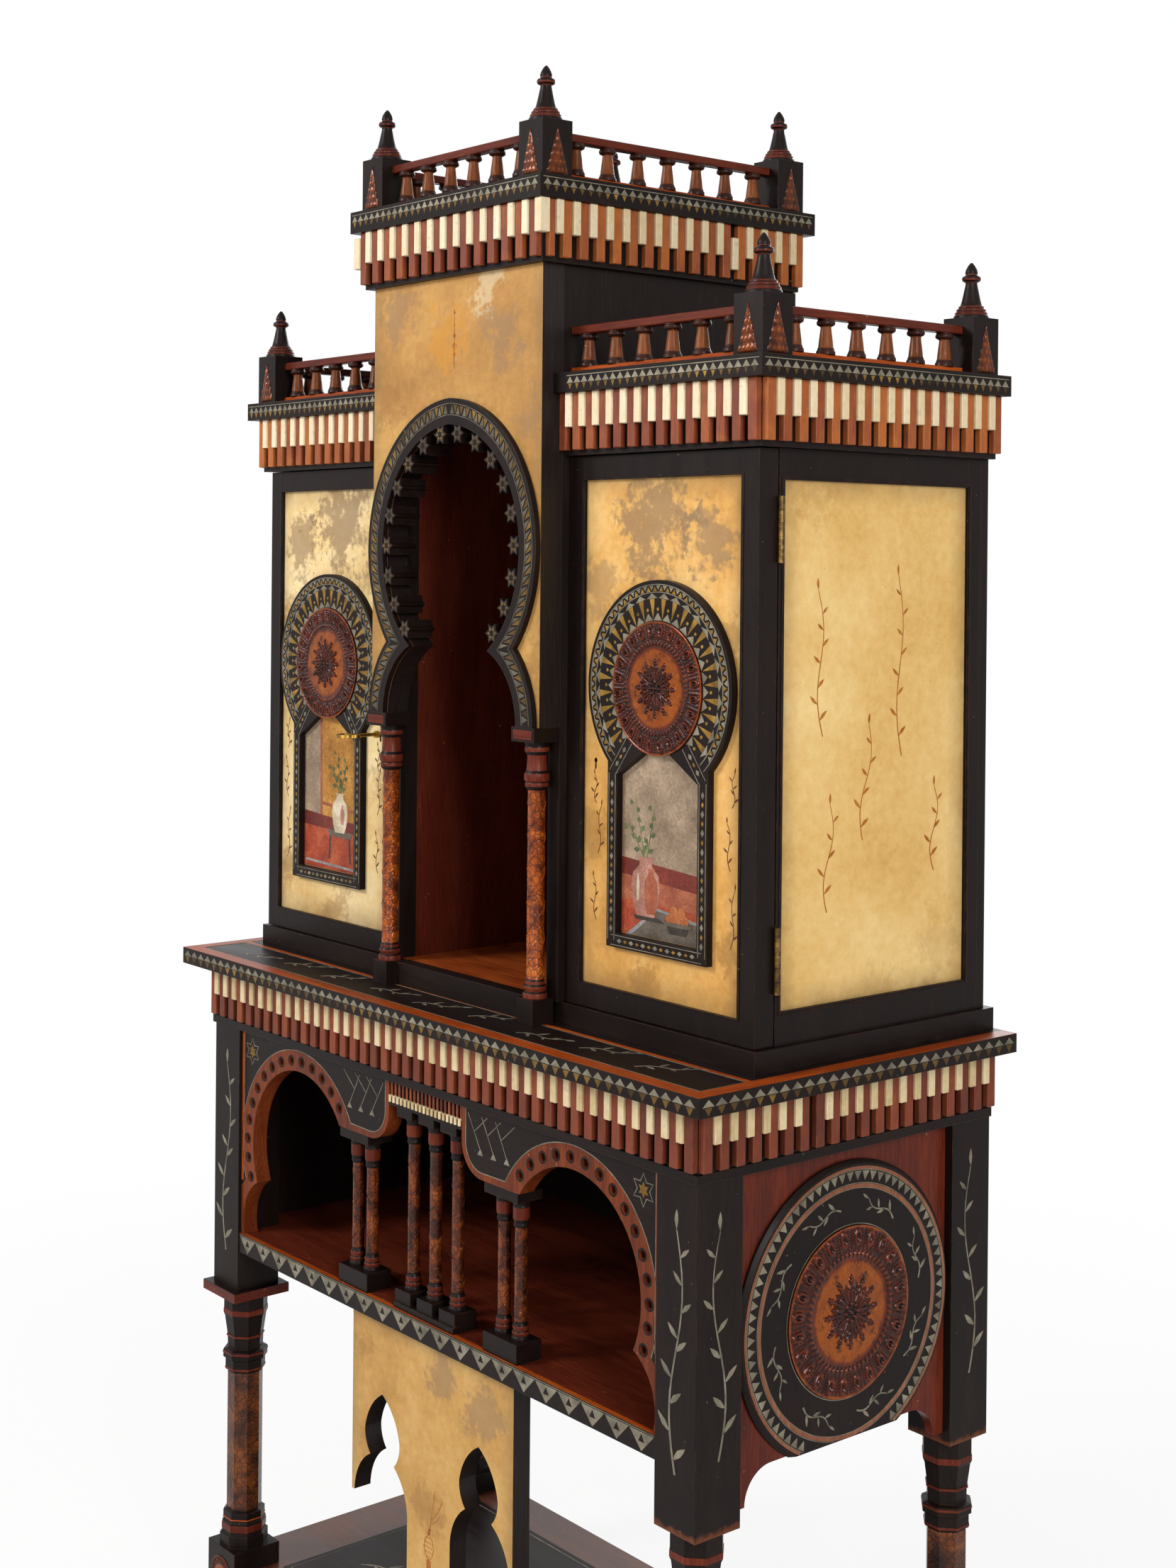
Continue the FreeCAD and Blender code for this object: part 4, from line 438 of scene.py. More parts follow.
def paintFinish(name, at, tones, stroke, rough=0.5):
    # oil colour laid with a small brush and varnished: streaks of two or three tones, thick here and there
    material, add, spot = startMaterial(name)
    strokes = add("TexNoise", {"Vector": spot, "Scale": 1000 / stroke, "Detail": 6.0, "Roughness": 0.6,
                               "Distortion": 1.6})
    wash = add("TexNoise", {"Vector": spot, "Scale": 1000 / (stroke * 6), "Detail": 3.0})
    blend = add("Mix", {0: 0.5, 2: strokes, 3: wash})
    colour = add("ValToRGB", {0: blend}, stops=zip(at, tones))
    thick = add("Bump", {"Height": strokes, "Strength": 0.3, "Distance": 0.0004})
    return endMaterial(material, add, {"Base Color": colour, "Normal": thick, "Roughness": rough,
                                       "Specular IOR Level": 0.25})


paints = {name: paintFinish("oilPaint" + name.capitalize(), (0.34, 0.5, 0.66), tones, stroke)
          for name, *tones, stroke in (
              ("wall", "#695747", "#87735e", "#a8927a", 7), ("cloth", "#6f4518", "#9a6a2a", "#c08f48", 6),
              ("dado", "#3f1611", "#5e2219", "#7c3325", 6), ("skirt", "#6d3424", "#8d4c34", "#a8674a", 5),
              ("floor", "#6e2417", "#8f3a22", "#ad5f38", 5), ("mat", "#3b332b", "#544a3f", "#6e6355", 5),
              ("stripe", "#5c5c60", "#7c7b7c", "#a09a90", 4), ("clay", "#74483a", "#98695a", "#bb9080", 4),
              ("glaze", "#93826a", "#b8a78d", "#d6c8b0", 4), ("fruit", "#78391b", "#9a582f", "#b78250", 3),
              ("leaf", "#2c3320", "#46502f", "#6d7745", 3), ("shade", "#1d1713", "#2e2620", "#463b31", 4))}
# sepia ink on vellum: brown, thin where the pen lifted
sepiaInk = paintFinish("sepiaInkDrawn", (0.3, 0.5, 0.7), ("#7a3f0e", "#985818", "#b47c34"), 4, 0.6)
brownInk = paintFinish("brownInkDrawn", (0.3, 0.5, 0.7), ("#321a0a", "#522e14", "#7a4e26"), 4, 0.6)
print("finishes made:", len(bpy.data.materials))


# mesh helpers: every shape is written in mm in the cabinet's frame

def makePiece(name, mesh, finishes, standsFor=None, smooth=None, body="cabinet"):
    bmesh.ops.recalc_face_normals(mesh, faces=mesh.faces)
    bmesh.ops.scale(mesh, vec=(0.001, 0.001, 0.001), verts=mesh.verts)
    data = bpy.data.meshes.new(name)
    mesh.to_mesh(data)
    mesh.free()
    for finish in finishes:
        data.materials.append(finish)
    if smooth:
        data.polygons.foreach_set("use_smooth", [True] * len(data.polygons))
        data.set_sharp_from_angle(angle=math.radians(smooth))
    piece = bpy.data.objects.new(name, data)
    bpy.context.scene.collection.objects.link(piece)
    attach(piece, body)
    if standsFor:
        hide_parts(standsFor)


def frontFace(y):
    return lambda u, v, h: (u, y - h, v)


def backFace(y):
    return lambda u, v, h: (u, y + h, v)


def sideFace(x):
    return lambda u, v, h: (x + math.copysign(h, x), u, v)


def topFace(z):
    return lambda u, v, h: (u, v, z + h)


def polar(cu, cv, radius, degrees):
    return cu + radius * math.cos(math.radians(degrees)), cv + radius * math.sin(math.radians(degrees))


def arcPath(cu, cv, radius, start, end, steps):
    return [polar(cu, cv, radius, start + (end - start) * i / steps) for i in range(steps + 1)]


def roundSpot(cu, cv, radius):
    return arcPath(cu, cv, radius, 0, 330, 11)


def starCorners(cu, cv, outer, inner, points, turn=90.0):
    return [polar(cu, cv, inner if k % 2 else outer, turn + 180 * k / points) for k in range(points * 2)]


def oblong(left, right, low, high):
    return [(left, low), (right, low), (right, high), (left, high)]


def spike(mid, half, foot, tip):
    return [(mid - half, foot), (mid + half, foot), (mid, tip)]


def wedge(cu, cv, foot, tip, at, half):
    # a triangle that points along a radius
    return [polar(cu, cv, foot, at - half), polar(cu, cv, foot, at + half), polar(cu, cv, tip, at)]


def mirrored(points, side):
    return [(u * side, v) for u, v in points]


inlayLow, inlayHigh = -0.2, 0.22   # inlay is let into the wood and stands a fifth of a mm proud
fieldLow, fieldHigh = -0.1, 0.15   # veneered fields stand a little lower


def layPolygon(mesh, face, corners, finish=0, low=inlayLow, high=inlayHigh):
    lower = [mesh.verts.new(face(u, v, low)) for u, v in corners]
    upper = [mesh.verts.new(face(u, v, high)) for u, v in corners]
    made = [mesh.faces.new(upper), mesh.faces.new(lower[::-1])]
    for i in range(len(corners)):
        made.append(mesh.faces.new((lower[i - 1], lower[i], upper[i], upper[i - 1])))
    for one in made:
        one.material_index = finish


def layBand(mesh, face, path, width, finish=0, closed=False, low=inlayLow, high=inlayHigh):
    # a strip of even or listed width that follows a path, as a closed bar
    count = len(path)
    widths = width if isinstance(width, list) else [width] * count
    rails = []
    for i in range(count):
        before = path[i - 1] if i or closed else path[i]
        after = path[(i + 1) % count] if i + 1 < count or closed else path[i]
        du, dv = after[0] - before[0], after[1] - before[1]
        size = math.hypot(du, dv) or 1
        nu, nv = -dv / size * widths[i] / 2, du / size * widths[i] / 2
        left = (path[i][0] + nu, path[i][1] + nv)
        right = (path[i][0] - nu, path[i][1] - nv)
        rails.append([mesh.verts.new(face(*left, low)), mesh.verts.new(face(*right, low)),
                      mesh.verts.new(face(*right, high)), mesh.verts.new(face(*left, high))])
    made = []
    for i in range(0 if closed else 1, count):
        last, here = rails[i - 1], rails[i]
        for k in range(4):
            made.append(mesh.faces.new((last[k], last[k - 1], here[k - 1], here[k])))
    if not closed:
        made += [mesh.faces.new(rails[0]), mesh.faces.new(rails[-1][::-1])]
    for one in made:
        one.material_index = finish


def turnShape(mesh, x, y, rings, sides=28, phase=0.0):
    # rings go upwards as (radius, height, finish of the band above)
    rows = [[mesh.verts.new((*polar(x, y, radius, phase + 360 * k / sides), height)) for k in range(sides)]
            for radius, height, finish in rings]
    for i in range(len(rows) - 1):
        for k in range(sides):
            one = mesh.faces.new((rows[i][k - 1], rows[i][k], rows[i + 1][k], rows[i + 1][k - 1]))
            one.material_index = rings[i][2]
    mesh.faces.new(rows[0][::-1]).material_index = rings[0][2]
    mesh.faces.new(rows[-1]).material_index = rings[-2][2]


def softenRings(rings, ease):
    # adds an eased step at each corner of a turned profile so that the rings catch the light
    eased = [rings[0]]
    for (r0, h0, f0), (radius, height, finish), (r2, h2, f2) in zip(rings, rings[1:], rings[2:]):
        back, ahead = math.hypot(radius - r0, height - h0), math.hypot(r2 - radius, h2 - height)
        a, b = min(ease, back * 0.4) / back, min(ease, ahead * 0.4) / ahead
        eased.append((radius + (r0 - radius) * a, height + (h0 - height) * a, f0))
        eased.append((radius + (r2 - radius) * b, height + (h2 - height) * b, finish))
    return eased + [rings[-1]]


def spiralRidge(mesh, x, y, radius, low, high, lead, start, wide=0.9, proud=0.5):
    # a fine raised line that winds up a shaft, from a start in radians
    turns = (high - low) / lead
    steps = max(8, int(abs(turns) * 28))
    rows = []
    for i in range(steps + 1):
        angle = math.degrees(start) + 360 * turns * i / steps
        z = low + (high - low) * i / steps
        rows.append([mesh.verts.new((*polar(x, y, radius + dr, angle), z + dz))
                     for dr, dz in ((-0.3, -wide / 2), (proud, 0), (-0.3, wide / 2))])
    for last, here in zip(rows, rows[1:]):
        for k in range(3):
            mesh.faces.new((last[k - 1], last[k], here[k], here[k - 1]))
    mesh.faces.new(rows[0])
    mesh.faces.new(rows[-1][::-1])


def addBlock(mesh, low, high, ease, finish=0, tone=None):
    # a block with eased edges and corners
    middle, half = [(a + b) / 2 for a, b in zip(low, high)], [(b - a) / 2 for a, b in zip(low, high)]
    pairs = ((-1, -1), (1, -1), (1, 1), (-1, 1))
    corner = {}
    for signs in product((-1, 1), repeat=3):
        for axis in range(3):
            place = [middle[k] + signs[k] * (half[k] - (0 if k == axis else ease)) for k in range(3)]
            corner[signs, axis] = mesh.verts.new(place)
    loops = [[corner[signs, axis] for axis in range(3)] for signs in product((-1, 1), repeat=3)]
    for axis in range(3):
        a, b = [k for k in range(3) if k != axis]
        ends = {}
        for s in (-1, 1):
            for p, q in pairs:
                signs = [s, s, s]
                signs[a], signs[b] = p, q
                ends[s, p, q] = tuple(signs)
            loops.append([corner[ends[s, p, q], axis] for p, q in pairs])
        for p, q in pairs:
            down, up = ends[-1, p, q], ends[1, p, q]
            loops.append([corner[down, a], corner[down, b], corner[up, b], corner[up, a]])
    for loop in loops:
        one = mesh.faces.new(loop)
        one.material_index = finish
        if tone:
            one[tone[0]] = tone[1]


def boxOf(points):
    return [min(p[k] for p in points) for k in range(3)], [max(p[k] for p in points) for k in range(3)]


def solidBoxes(node, perSolid=24):
    # boxes of a node's plain blocks, in mm, in the order of its solids
    points = [v.co * 1000 for v in nodes[node].data.vertices]
    return [boxOf(points[i:i + perSolid]) for i in range(0, len(points), perSolid)]


def standing(node):
    # centre, foot and top of each separate turned solid of a node, in mm
    mesh = bmesh.new()
    mesh.from_mesh(nodes[node].data)
    bmesh.ops.remove_doubles(mesh, verts=mesh.verts, dist=1e-6)
    seen = set()
    found = []
    for first in mesh.verts:
        if first in seen:
            continue
        seen.add(first)
        group, waiting = [], [first]
        while waiting:
            here = waiting.pop()
            group.append(here.co * 1000)
            for edge in here.link_edges:
                other = edge.other_vert(here)
                if other not in seen:
                    seen.add(other)
                    waiting.append(other)
        low, high = boxOf(group)
        found.append(((low[0] + high[0]) / 2, (low[1] + high[1]) / 2, low[2], high[2]))
    mesh.free()
    return found


def layLeaf(mesh, face, foot, turn, length):
    along = polar(0, 0, length, turn)
    outline = [(0, 0), (0.22, 0.10), (0.5, 0.17), (0.78, 0.10), (1, 0), (0.78, -0.07), (0.5, -0.11),
               (0.22, -0.06)]
    layPolygon(mesh, face, [(foot[0] + a * along[0] - b * along[1], foot[1] + a * along[1] + b * along[0])
                            for a, b in outline])


def sprig(mesh, face, u, v, lean, length, leaves, leaf, width, sway=5.0):
    # a swaying stem with leaves in turn on either side and one at its tip
    along = polar(0, 0, 1, lean)
    steps = 18
    stem = []
    for i in range(steps + 1):
        far, off = length * i / steps, sway * math.sin(2 * math.pi * i / steps)
        stem.append((u + along[0] * far - along[1] * off, v + along[1] * far + along[0] * off))
    layBand(mesh, face, stem, [width * (1.15 - 0.5 * i / steps) for i in range(steps + 1)])
    for k in range(leaves):
        at = stem[int((k + 1) * steps / (leaves + 1))]
        turn = lean + (48 if k % 2 else -48)
        layLeaf(mesh, face, at, turn, leaf * (1 - 0.35 * k / max(1, leaves)))
    layLeaf(mesh, face, stem[-1], lean, leaf * 0.8)


# finishes of the CAD nodes that keep their own shape
plainNodes = {
    ebonyPost: ["corner_posts"],
    mahoganyCollar: ["post_collars"],
    ebonyUpright: ["side_frame_left", "side_frame_right", "niche_arch", "arch_stars", "gallery_posts",
                   "door_frame_left", "door_frame_right", "door_surround_left", "door_surround_right",
                   "column_blocks", "side_discs", "turned_legs"],
    ebonyAcross: ["shelf_fascia", "arcade_left", "arcade_right", "arcade_lintel", "colonnette_blocks",
                  "frieze_rails", "cabinet_plinth", "cornice_friezes", "cornice_slabs", "stand_back",
                  "table_top"],
    mahoganyFloor: ["cabinet_floors"],
    mahoganyShelf: ["lower_shelf"],
    mahoganyTops: ["carcase_tops"],
    mahoganyStand: ["stand_side_left", "stand_side_right"],
    mahoganyArch: ["arch_band_left", "arch_band_right"],
    mahoganyBack: ["cabinet_back"],
    mahoganyPartition: ["partition_left", "partition_right"],
    sideVellum: ["side_panels"], towerVellum: ["tower_front"], supportVellum: ["support_panel"],
    doorVellum["left"]: ["door_panel_left"], doorVellum["right"]: ["door_panel_right"],
    brassHinge: ["hinge_leaves", "door_hinges_left", "door_hinges_right"],
    brassCast: ["key"],
    ironBlack: ["door_lock_left", "door_lock_right", "lock_bolt_left", "lock_bolt_right"],
    mahoganyPlatform: ["platform_board"],
}
for finish, names in plainNodes.items():
    for name in names:
        nodes[name].data.materials.clear()
        nodes[name].data.materials.append(finish)
print("CAD nodes dressed:", sum(len(names) for names in plainNodes.values()))


# billets of the friezes, each with its own tone
billets = {"ease": 0.7, "seed": 11, "lostAt": (480, -62, 850), "slippedAt": (180, 92, 1775), "slip": 15.0,
           "cornices": 1400.0, "leftWing": -180.0, "tower": 1700.0, "towerCorner": (172.0, -173.5),
           "nearCorner": 13.0, "cornerTrim": 4.5, "cornerBlock": (10.5, 13.5, 37.0), "cornerDrop": (6.0, 0.0),
           "cornerTone": 0.6}


def layBillets(node, finish):
    mesh = bmesh.new()
    tone = mesh.faces.layers.float.new("tone")
    shade = random.Random(billets["seed"] + len(node))
    boxes = solidBoxes(node)
    middles = [[(a + b) / 2 for a, b in zip(*box)] for box in boxes]
    lost, slipped = [min(range(len(boxes)), key=lambda i: math.dist(middles[i], billets[key]))
                     for key in ("lostAt", "slippedAt")]
    cream = node == "cream_billets"
    x, y = billets["towerCorner"]
    for i, (low, high) in enumerate(boxes):
        draw = shade.uniform(0.2, 0.8)
        front = high[0] - low[0] > high[1] - low[1]
        value = 0.1 + 0.45 * draw
        if low[2] > billets["cornices"]:   # lighter up here as painted light, most on the sides and the left wing; the fronts of the tower and the right wing kept darker as painted shade
            value = (0.3 if front and low[0] > billets["leftWing"] else 0.47) + 0.38 * draw
        if cream and i == lost:
            continue
        drop = billets["slip"] if cream and i == slipped else 0
        mid = middles[i]
        atCorner = math.dist((abs(mid[0]), mid[1]), (x, y)) < billets["nearCorner"]
        trimmed = not cream and low[2] > billets["tower"] and atCorner and mid[1] > y
        trim = billets["cornerTrim"] if trimmed else 0
        addBlock(mesh, (low[0], low[1] + trim, low[2] - drop), (high[0], high[1], high[2] - drop),
                 billets["ease"], 0, (tone, value))
    if cream:   # a cream block wraps each front corner of the tower
        out, wide, tall = billets["cornerBlock"]
        top = max(high[2] for low, high in boxes)
        for side, drop in zip((-1, 1), billets["cornerDrop"]):
            near, far = sorted(((x - 0.5) * side, (x + out) * side))
            addBlock(mesh, (near, y - out, top - tall - drop), (far, y - out + wide, top - drop),
                     billets["ease"], 0, (tone, billets["cornerTone"]))
    makePiece(node + "_eased", mesh, [finish], node)


layBillets("red_billets", redBillet)
layBillets("cream_billets", creamBillet)
print("billets laid")


# turned work: galleries, finials, colonnettes and niche columns
# a ring is (radius, height, finish of the band above it), up from the foot or down from the head
turnedEase = 0.5


def turnPieces(node, foot, head=(), sides=28):
    mesh = bmesh.new()
    for x, y, low, high in standing(node):
        rings = [(r, low + h, f) for r, h, f in foot] + [(r, high - h, f) for r, h, f in head]
        turnShape(mesh, x, y, softenRings(rings, turnedEase), sides)
    return mesh


balusterRings = [(10.0, 0, 1), (10.0, 3.4, 1), (8.9, 4.6, 1), (8.6, 6.4, 0), (7.9, 7.4, 0), (7.2, 14, 0),
                 (6.3, 21, 0), (5.5, 27.6, 0), (5.7, 28.6, 1), (8.2, 29.8, 1), (9.6, 31.0, 1), (9.6, 33.8, 1),
                 (8.6, 34.8, 1), (8.6, 36, 1)]
mesh = turnPieces("balusters", balusterRings, sides=20)
makePiece("balusters_turned", mesh, [mahoganyBaluster, mahoganyEnds], "balusters", 35)

galleryRail = {"ease": 1.0, "bottomTall": 8.2}
mesh = bmesh.new()
for low, high in solidBoxes("gallery_rails"):   # top rails dark, bottom rails bright
    bottom = high[2] - low[2] < galleryRail["bottomTall"]
    deep = high[1] - low[1] > high[0] - low[0]
    addBlock(mesh, low, high, galleryRail["ease"], 2 * bottom + deep)
makePiece("gallery_rails_eased", mesh, [mahoganyLintel, mahoganyRail, padoukAcross, padoukDeep],
          "gallery_rails")

finialRings = [(18.9, 0, 0), (18.9, 3.0, 1), (17.2, 4.0, 1), (17.8, 6.4, 0), (15.8, 7.4, 1), (16.2, 9.8, 0),
               (13.8, 11.0, 1), (14.0, 13.0, 0), (11.8, 14.2, 0), (10.4, 19, 0), (9.0, 25, 0), (7.5, 32, 0),
               (6.2, 38.4, 1), (6.8, 39.6, 0), (9.7, 41.0, 1), (10.4, 43.0, 0), (9.8, 45.4, 0),
               (6.9, 46.8, 1), (6.3, 48.0, 0), (6.9, 50.2, 0), (6.0, 53.6, 0), (3.9, 57.4, 0),
               (2.3, 59.6, 0), (0.9, 60.9, 0)]
mesh = turnPieces("finials", finialRings)
makePiece("finials_turned", mesh, [ebonyUpright, mahoganyDark], "finials", 35)

# finishes of the columns: 0 beaten shaft, 1 black rings, 2 red rings
colonnette = {"radius": 7.0, "lead": 46.0, "counterLead": -73.6, "clear": (22.0, 33.0)}
colonnetteFoot = [(10.1, 0, 1), (10.1, 3.2, 1), (8.6, 4.4, 2), (9.4, 6.4, 2), (9.4, 8.6, 1), (8.2, 9.8, 2),
                  (8.9, 12.4, 2), (8.9, 15.0, 1), (7.6, 17.0, 1), (colonnette["radius"], 19.6, 0)]
colonnetteHead = [(colonnette["radius"], 31.0, 1), (8.3, 29.6, 1), (8.8, 27.4, 1), (7.7, 25.6, 1),
                  (8.6, 24.2, 1), (8.6, 22.2, 2), (9.4, 21.0, 2), (9.4, 8.8, 1), (9.9, 7.6, 1), (8.8, 6.0, 1),
                  (10.5, 3.6, 1), (10.5, 0, 1)]
mesh = turnPieces("colonnettes", colonnetteFoot, colonnetteHead)
for x, y, low, high in standing("colonnettes"):
    shaft = (x, y, colonnette["radius"], low + colonnette["clear"][0], high - colonnette["clear"][1])
    spiralRidge(mesh, *shaft, colonnette["lead"], x)
    spiralRidge(mesh, *shaft, colonnette["counterLead"], x + 2, 0.7, 0.4)
makePiece("colonnettes_turned", mesh, [emberShaft, ebonyUpright, mahoganyDark], "colonnettes", 35)

nicheColumn = {"radius": 9.75, "lead": 74.0, "starts": (0.4, 3.5), "clear": (23.0, 56.0)}
nicheFoot = [(13.6, 0, 2), (13.6, 5.6, 1), (11.4, 7.4, 2), (12.6, 10.6, 2), (12.6, 13.0, 1), (10.8, 15.0, 2),
             (11.0, 18.4, 1), (nicheColumn["radius"], 20.4, 0)]
nicheHead = [(nicheColumn["radius"], 53.4, 1), (12.0, 51.6, 1), (13.1, 49.4, 2), (13.1, 45.4, 1),
             (12.2, 44.0, 2), (14.1, 42.6, 2), (14.1, 35.0, 1), (11.8, 32.0, 2), (10.9, 22.0, 2),
             (10.7, 15.0, 1), (12.2, 13.2, 1), (13.6, 11.2, 2), (13.6, 6.4, 1), (12.6, 4.6, 1),
             (13.6, 3.0, 1), (13.6, 0, 1)]
mesh = turnPieces("niche_columns", nicheFoot, nicheHead, 32)
for x, y, low, high in standing("niche_columns"):
    shaft = (x, y, nicheColumn["radius"], low + nicheColumn["clear"][0], high - nicheColumn["clear"][1])
    for start in nicheColumn["starts"]:
        spiralRidge(mesh, *shaft, nicheColumn["lead"], start, 1.3, 0.6)
makePiece("niche_columns_turned", mesh, [amberShaft, ebonyUpright, mahoganyDark],
          "niche_columns", 35)
print("turned work done")


# embossed copper bosses: a height and a tone over radius and angle
boss = {"eyes": 24, "rope": 60, "arms": 12, "rim": 0.965, "ring": 0.72, "field": 0.635, "rosette": 0.44}


def bump(distance, reach):
    return max(0.0, 1 - (distance / reach) ** 2)


def bossShape(r, angle, size, relief):
    # r runs 0 to 1 of the boss radius; gives the height in mm and the tone, dark 0 to bright 1, with painted
    # shade in hollows and grooves and painted highlight on raised parts
    dome = 0.2 * relief * math.sqrt(max(0.0, 1 - r * r)) + 0.16 * relief
    grain = size / 70   # the pattern is drawn for a boss of 70 mm

    def aside(count, offset=0.0):
        share = (angle * count / (2 * math.pi) + offset) % 1 - 0.5
        return share * 2 * math.pi * r * size / count

    if r > boss["rim"]:
        swell = math.sin(math.pi * min(1.0, (r - boss["rim"]) / (1.02 - boss["rim"])))
        return dome + relief * 0.16 * swell, 0.5 + 0.2 * swell
    if r > boss["ring"]:   # hollow eyes between rows of dots
        eye = math.hypot((r - 0.865) * size / (5.4 * grain), aside(boss["eyes"]) / (2.9 * grain))
        lip = bump(eye - 1, 0.5)
        dots = 0.0
        for offset in (0.36, 0.64):
            dots = max(dots, bump(aside(boss["eyes"], offset), 1.3 * grain) *
                       (0.55 + 0.45 * math.cos(2 * math.pi * r * size / (2.6 * grain))))
        # the hollow of each eye darkened as painted shade, lips and dots lightened as painted highlight
        tone = 0.24 + 0.24 * lip + 0.24 * dots - 0.24 * bump(eye, 0.75)
        return dome + relief * (0.05 + 0.34 * lip + 0.28 * dots - 0.14 * bump(eye, 0.75)), tone
    if r > boss["field"]:   # rope with claws that point inwards
        across = (r - boss["field"]) / (boss["ring"] - boss["field"])
        twist = 0.5 + 0.5 * math.sin(angle * boss["rope"] + across * 2.4)
        swell = math.sin(math.pi * across)
        # the grooves between the twists darkened as painted shade
        return dome + relief * (0.06 + 0.3 * swell * twist), 0.14 + 0.46 * twist * (0.5 + 0.5 * swell)
    if r > boss["rosette"]:   # plain field, with painted shade darkening it towards the foot of the rope
        return dome + relief * 0.02, 0.74 - 0.3 * bump(r - boss["field"], 0.07)
    beads = 0.0
    for ring, count, offset, reach in ((0.415, 12, 0.5, 2.3), (0.372, 12, 0.42, 1.9), (0.372, 12, 0.58, 1.9),
                                       (0.235, 12, 0.0, 2.6), (0.1, 8, 0.5, 2.4), (0.0, 1, 0.5, 2.6)):
        away = math.hypot((r - ring) * size, aside(count, offset)) if ring else r * size
        beads = max(beads, bump(away, reach * grain))
    arm = bump(aside(boss["arms"], 0.5), 1.9 * grain) if 0.12 < r < 0.38 else 0.0
    petal = bump(aside(boss["arms"], 0.0), 3.2 * grain) * bump(r - 0.2, 0.1)
    wave = abs((angle * boss["arms"] / (2 * math.pi) + 0.5) % 1 - 0.5) * 2
    zigzag = max(bump(r - 0.2 - 0.13 * wave, 0.028), bump(r - 0.33 + 0.1 * wave, 0.024))
    high = max(beads, 0.75 * arm, 0.6 * petal, 0.7 * zigzag)
    covered = min(1.0, high * 3) if r > 0.24 else 1.0
    # the sunk ground of the rosette darkened as painted shade, its beads lightened as painted highlight
    return dome + relief * (0.02 + 0.46 * high), 0.74 * (1 - covered) + covered * (0.1 + 0.34 * high)


def makeBoss(mesh, face, cu, cv, size, relief, radial=96, around=432):
    layer = mesh.verts.layers.float["relief"]
    rows = []
    high, shade = bossShape(0, 0, size, relief)
    middle = mesh.verts.new(face(cu, cv, high))
    middle[layer] = shade
    for i in range(1, radial + 1):
        row = []
        for k in range(around):
            angle = 2 * math.pi * k / around
            high, shade = bossShape(i / radial, angle, size, relief)
            vert = mesh.verts.new(face(*polar(cu, cv, size * i / radial, math.degrees(angle)), high))
            vert[layer] = shade
            row.append(vert)
        rows.append(row)
    for k in range(around):
        mesh.faces.new((middle, rows[0][k - 1], rows[0][k]))
        for i in range(radial - 1):
            mesh.faces.new((rows[i][k - 1], rows[i + 1][k - 1], rows[i + 1][k], rows[i][k]))
    rim = [mesh.verts.new(face(*polar(cu, cv, size, 360 * k / around), -0.2)) for k in range(around)]
    # the rim's outer wall given a dark tone as painted shade
    for vert in rim:
        vert[layer] = 0.1
    for k in range(around):
        mesh.faces.new((rows[-1][k - 1], rim[k - 1], rim[k], rows[-1][k]))
    mesh.faces.new(rim)


doorBoss = {"x": 318.5, "z": 1275.0, "radius": 70.0, "relief": 7.0, "face": -130.5}
sideBoss = {"y": 13.25, "z": 636.0, "radius": 88.0, "relief": 7.0, "face": 463.0}
for sideName, side in doorSides:
    mesh = bmesh.new()
    mesh.verts.layers.float.new("relief")
    makeBoss(mesh, frontFace(doorBoss["face"]), doorBoss["x"] * side, doorBoss["z"], doorBoss["radius"],
             doorBoss["relief"])
    makePiece(f"door_boss_{sideName}_embossed", mesh, [copperBoss], f"door_boss_{sideName}", 60,
              f"door_{sideName}")
mesh = bmesh.new()
mesh.verts.layers.float.new("relief")
for side in (-1, 1):
    makeBoss(mesh, sideFace(sideBoss["face"] * side), sideBoss["y"], sideBoss["z"], sideBoss["radius"],
             sideBoss["relief"])
makePiece("side_bosses_embossed", mesh, [copperBoss], "side_bosses", 60)
print("bosses embossed")


# door inlay: ring of the medallion, bars of the surround
# caps, wedges and spikes are given by the radius of the foot and of the tip
medallion = {"sectors": 32, "outerLine": 108.4, "innerLine": 100.3, "line": 1.0, "teeth": 64, "open": 40.0,
             "caps": (94.2, 99.4), "wedges": (93.6, 72.5), "wedgeTop": 94.4, "wedgeHalf": 3.8,
             "spikes": (71.2, 79.0), "dotAt": 82.6, "dot": 1.8}
surround = {"half": 79.0, "bar": 15.0, "bottom": 997.0, "shoulder": 1180.0, "crown": (44.0, 38.0),
            "line": 0.8, "lineOff": 5.2, "pitch": 9.6, "diamonds": ((3.9, 2.5), (3.0, 1.9))}


def layMedallion(mesh, face, cu, cv):
    # finishes: 0 pewter, 1 brass; the ring is open over the window
    first, last = -90 + medallion["open"], 270 - medallion["open"]

    def shown(at, spare):
        return first + spare < (at - first) % 360 + first < last - spare

    for radius in (medallion["outerLine"], medallion["innerLine"]):
        layBand(mesh, face, arcPath(cu, cv, radius, first + 2, last - 2, 140), medallion["line"])
    step = 360 / medallion["teeth"]
    inner, outer = medallion["innerLine"] + 1.0, medallion["outerLine"] - 1.0
    for k in range(medallion["teeth"]):
        at = 90 + k * step
        if shown(at, step):
            layPolygon(mesh, face, wedge(cu, cv, outer, inner + 1.2, at, step * 0.32), 0)
            layPolygon(mesh, face, wedge(cu, cv, inner, outer - 1.0, at + step * 0.5, step * 0.3), 1)
    wide = 360 / medallion["sectors"]
    half = math.degrees(medallion["wedgeHalf"] / medallion["wedgeTop"])
    for k in range(medallion["sectors"]):
        at = 90 + (k + 0.5) * wide
        if shown(at, wide * 0.6):
            layPolygon(mesh, face, wedge(cu, cv, *medallion["caps"], at, wide * 0.46), 0)
            layPolygon(mesh, face, wedge(cu, cv, *medallion["wedges"], at, half), 1)
        cell = 90 + k * wide
        if shown(cell, wide * 0.4):
            layPolygon(mesh, face, roundSpot(*polar(cu, cv, medallion["dotAt"], cell), medallion["dot"]), 1)
            layPolygon(mesh, face, wedge(cu, cv, *medallion["spikes"], cell, wide * 0.47), 0)


